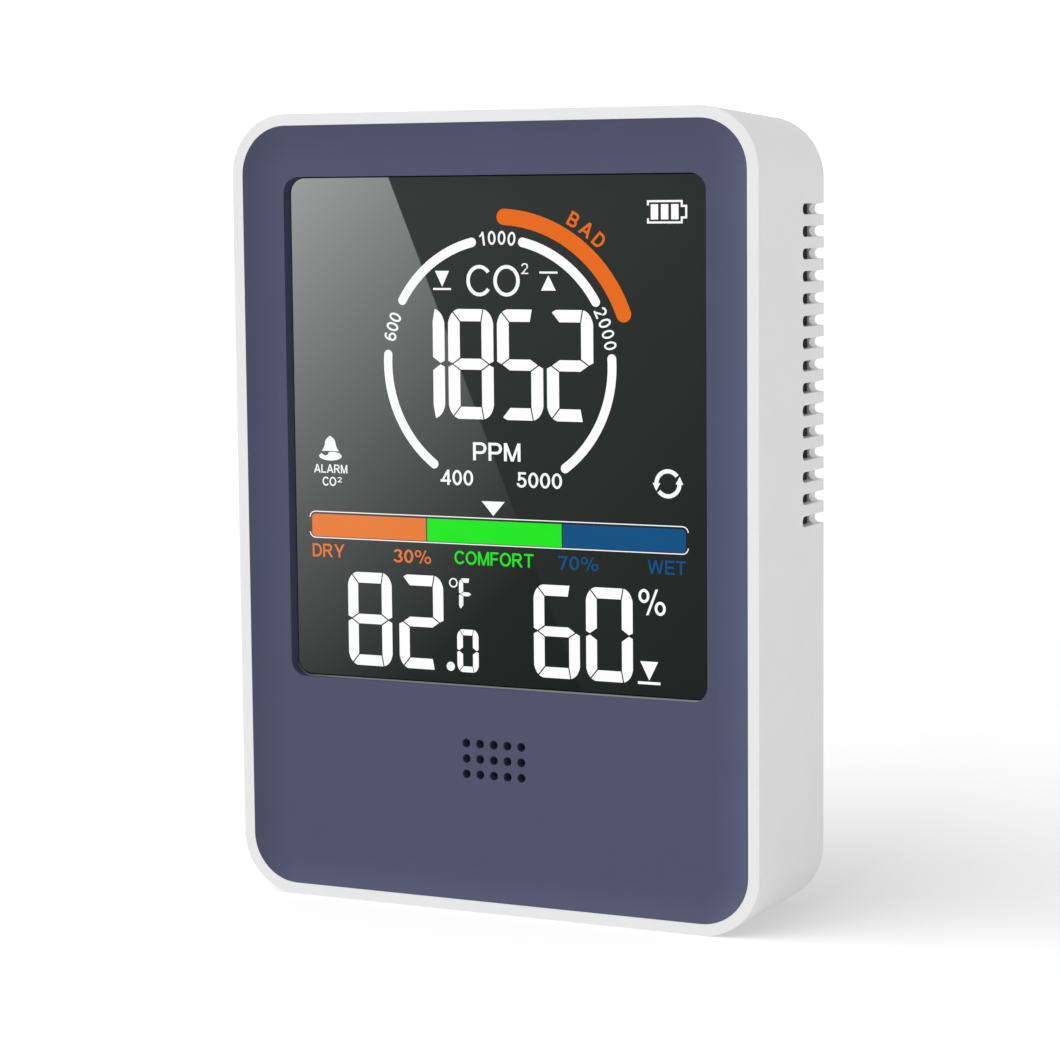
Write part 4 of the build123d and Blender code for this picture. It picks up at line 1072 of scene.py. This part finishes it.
def display_artwork():
    white = glowing_ink("lit_white", WHITE)
    legend_orange = glowing_ink("lit_legend_orange", LEGEND_ORANGE)
    dry_orange = glowing_ink("lit_dry_orange", DRY_ORANGE)
    green = glowing_ink("lit_green", COMFORT_GREEN)
    blue = glowing_ink("lit_blue", WET_BLUE)
    dial_artwork(white, glowing_ink("lit_alert_orange", ALERT_ORANGE))
    reading_artwork(white)
    battery_artwork(white)
    bell_artwork(white)
    refresh_artwork(white)
    comfort_bar_artwork(white, dry_orange, green, blue)
    comfort_legend_artwork(legend_orange, green, blue)
    temperature_artwork(white)
    humidity_artwork(white)


display_artwork()
window_lip()


# ---------------------------------------------------------------- markings on the back
def power_symbol():
    return [arc_stroke((0.0, 0.0), 1.45, 0.32, 125.0, 415.0), bar(-0.16, 0.16, 0.5, 1.9)]


def menu_symbol():
    return [bar(-1.4, 1.4, level - 0.17, level + 0.17) for level in (-1.0, 0.0, 1.0)]


def lamp_symbol():
    rays = []
    for angle in range(0, 360, 45):
        upright = bar(-0.14, 0.14, 1.25, 1.9)
        rays.append(turned(upright, (0.0, 0.0), angle))
    return [arc((0.0, 0.0), 0.85, 0.0, 345.0, 15.0)] + rays


def label_rules():
    """A thin border and blank ruled lines, in place of a maker's data."""
    half_width, half_height, line = 20.2, 9.2, 0.2
    corners = [(-half_width, -half_height), (half_width, -half_height), (half_width, half_height)]
    corners += [(-half_width, half_height), (-half_width, -half_height)]
    rules = [line_stroke(corners[i : i + 2], line) for i in range(4)]
    for reach, level in ((17.0, 4.5), (17.0, 0.5), (4.0, -3.5)):
        rules.append(bar(-17.0, reach, level, level + line))
    return rules


def back_markings():
    """Printed symbols on the three button caps, and the print on the rating label."""
    print_grey = printed_ink("print_grey", PRINT_GREY)
    symbols = {"left": power_symbol(), "middle": menu_symbol(), "right": lamp_symbol()}
    for side, symbol in symbols.items():
        name, place = "print_button_" + side, on_rear_of("button_" + side)
        flat_piece(name, symbol, print_grey, place, body=side + "_button")
    place = on_rear_of("rating_label")
    flat_piece("print_label", label_rules(), print_grey, place, proud=0.01)


back_markings()


# ---------------------------------------------------------------- studio
def staged(name, vertices, faces, material):
    """A stage surface that isn't part of the object."""
    mesh = bpy.data.meshes.new(name)
    mesh.from_pydata(vertices, [], faces)
    mesh.materials.append(material)
    made = bpy.data.objects.new(name, mesh)
    bpy.context.scene.collection.objects.link(made)
    made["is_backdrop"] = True
    return made


def studio_floor():
    """A wide white light table under the object, kept out of mirror-like reflections."""
    paper = new_material("floor_paper", (FLOOR_TONE, FLOOR_TONE, FLOOR_TONE), 0.9)
    shader_of(paper).inputs["Specular IOR Level"].default_value = 0.0
    shader_of(paper).inputs["Emission Color"].default_value = (1.0, 1.0, 1.0, 1.0)
    shader_of(paper).inputs["Emission Strength"].default_value = FLOOR_GLOW
    turns = ((-1, -1), (1, -1), (1, 1), (-1, 1))
    corners = [(x * FLOOR_REACH, y * FLOOR_REACH, 0.0) for x, y in turns]
    floor = staged("floor", corners, [(0, 1, 2, 3)], paper)
    floor.visible_glossy = False
    return floor


def studio_world(brightness):
    """Even soft light from all round, seen by the camera as plain white."""
    world = bpy.data.worlds.new("studio")
    bpy.context.scene.world = world
    world.use_nodes = True
    nodes, links = world.node_tree.nodes, world.node_tree.links
    background = nodes["Background"]
    background.inputs["Color"].default_value = (1.0, 1.0, 1.0, 1.0)
    ray = nodes.new("ShaderNodeLightPath")
    strength = nodes.new("ShaderNodeMapRange")
    strength.inputs["To Min"].default_value = brightness
    strength.inputs["To Max"].default_value = 1.2
    links.new(ray.outputs["Is Camera Ray"], strength.inputs["Value"])
    links.new(strength.outputs["Result"], background.inputs["Strength"])


def soft_sun(name, azimuth, elevation, spread, strength, receivers):
    """A broad distant lamp. Azimuth is where it stands, anticlockwise from +X, in degrees."""
    lamp = bpy.data.lights.new(name, "SUN")
    lamp.angle = math.radians(spread)
    lamp.energy = strength
    made = bpy.data.objects.new(name, lamp)
    turn, rise = math.radians(azimuth), math.radians(elevation)
    level = math.cos(rise)
    towards = Vector((math.cos(turn) * level, math.sin(turn) * level, math.sin(rise)))
    made.rotation_euler = towards.to_track_quat("Z", "Y").to_euler()
    bpy.context.scene.collection.objects.link(made)
    made.light_linking.receiver_collection = receivers


def group_of(name, members):
    group = bpy.data.collections.new(name)
    for member in members:
        group.objects.link(member)
    return group


def graded_light(name, first, second, floor_level):
    """Light that falls off over a card: (base + across u + up v) to the power 2.2, over a floor."""
    material = bpy.data.materials.new(name)
    material.use_nodes = True
    nodes, links = material.node_tree.nodes, material.node_tree.links
    nodes.clear()
    place = nodes.new("ShaderNodeTexCoord")
    levels = []
    for base, across, up in (first, second):
        weigh = nodes.new("ShaderNodeVectorMath")
        weigh.operation = "DOT_PRODUCT"
        weigh.inputs[1].default_value = (across, 0.0, up)
        links.new(place.outputs["Generated"], weigh.inputs[0])
        lift = nodes.new("ShaderNodeMath")
        lift.operation = "ADD"
        lift.inputs[1].default_value = base
        links.new(weigh.outputs["Value"], lift.inputs[0])
        levels.append(lift.outputs["Value"])
    brighter = nodes.new("ShaderNodeMath")
    brighter.operation = "MAXIMUM"
    links.new(levels[0], brighter.inputs[0])
    links.new(levels[1], brighter.inputs[1])
    curve = nodes.new("ShaderNodeMath")
    curve.operation = "POWER"
    curve.inputs[1].default_value = 2.2
    links.new(brighter.outputs["Value"], curve.inputs[0])
    strength = nodes.new("ShaderNodeMath")
    strength.operation = "MULTIPLY_ADD"
    strength.inputs[1].default_value = 1.0 / WINDOW_REFLECTANCE
    strength.inputs[2].default_value = -floor_level / WINDOW_REFLECTANCE
    links.new(curve.outputs["Value"], strength.inputs[0])
    glow = nodes.new("ShaderNodeEmission")
    glow.inputs["Color"].default_value = (*CARD_TINT, 1.0)
    links.new(strength.outputs["Value"], glow.inputs["Strength"])
    output = nodes.new("ShaderNodeOutputMaterial")
    links.new(glow.outputs["Emission"], output.inputs["Surface"])
    return material


def reflection_card(name, corners, material, setback):
    """A card that shows only as a reflection in the window. Its corners are given across and up
    the window from 0 to 1, and it stands where the camera sees that part mirror it."""
    mirrored_eye = Vector((CAMERA_PLACE.x, 2 * LENS_FACE - CAMERA_PLACE.y, CAMERA_PLACE.z))
    plane = CARD_PLANE - setback
    reach = (mirrored_eye.y - plane) / (mirrored_eye.y - LENS_FACE)
    vertices = []
    for across, up in corners:
        spot = Vector(
            (
                lens_low.x + across * (lens_high.x - lens_low.x),
                LENS_FACE,
                lens_low.z + up * (lens_high.z - lens_low.z),
            )
        )
        vertices.append(mirrored_eye + reach * (spot - mirrored_eye))
    card = staged(name, vertices, [tuple(range(len(vertices)))], material)
    card.visible_camera = False
    card.visible_diffuse = False
    card.visible_shadow = False
    card.visible_transmission = False
    return card


def studio_camera():
    camera = bpy.data.cameras.new("camera")
    camera.lens = CAMERA_LENS
    camera.sensor_width = CAMERA_SENSOR
    camera.clip_start = 0.01
    made = bpy.data.objects.new("camera", camera)
    yaw = Matrix.Rotation(math.radians(CAMERA_YAW), 4, "Z")
    pitch = Matrix.Rotation(math.radians(90.0 + CAMERA_PITCH), 4, "X")
    roll = Matrix.Rotation(math.radians(CAMERA_ROLL), 4, "Z")
    made.matrix_world = Matrix.Translation(CAMERA_PLACE) @ yaw @ pitch @ roll
    bpy.context.scene.collection.objects.link(made)
    bpy.context.scene.camera = made


def studio():
    scene = bpy.context.scene
    scene.view_settings.view_transform = "Standard"
    studio_camera()
    studio_world(STUDIO_TONE)
    floor = studio_floor()
    glossy_faces = [frame["nodes"]["display_window"]]
    glossy_faces += [o for o in scene.objects if o.name.startswith("lit_")]
    table = group_of("table", [floor])
    mirror = group_of("mirror", glossy_faces)
    surround = [frame["nodes"]["front_fascia"], bpy.data.objects["window_lower_painted_highlight"]]
    for item in surround:
        item.visible_glossy = False
    dish = group_of("dish", glossy_faces + surround)
    rest = group_of("rest", [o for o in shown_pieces() if o.name not in dish.objects])
    for name, receivers in (("table_light", table), ("side_light", dish), ("front_light", rest)):
        soft_sun(name, **LAMPS[name], receivers=receivers)
    whole = [(-0.1, -0.1), (1.1, -0.1), (1.1, 1.1), (-0.1, 1.1)]
    broad = graded_light("broad_tone", BROAD_TONE, BROAD_TONE, WINDOW_OWN_TONE)
    gloss = graded_light("gloss_tone", GLOSS_TONE, BROAD_TONE, WINDOW_OWN_TONE)
    edge = [(0.0, 0.0), (GLOSS_EDGE_BOTTOM, 0.0), (GLOSS_EDGE_TOP, 1.0), (0.0, 1.0)]
    for card in (
        reflection_card("broad_card", whole, broad, setback=0.002),
        reflection_card("gloss_card", edge, gloss, setback=0.0),
    ):
        card.light_linking.receiver_collection = mirror


studio()
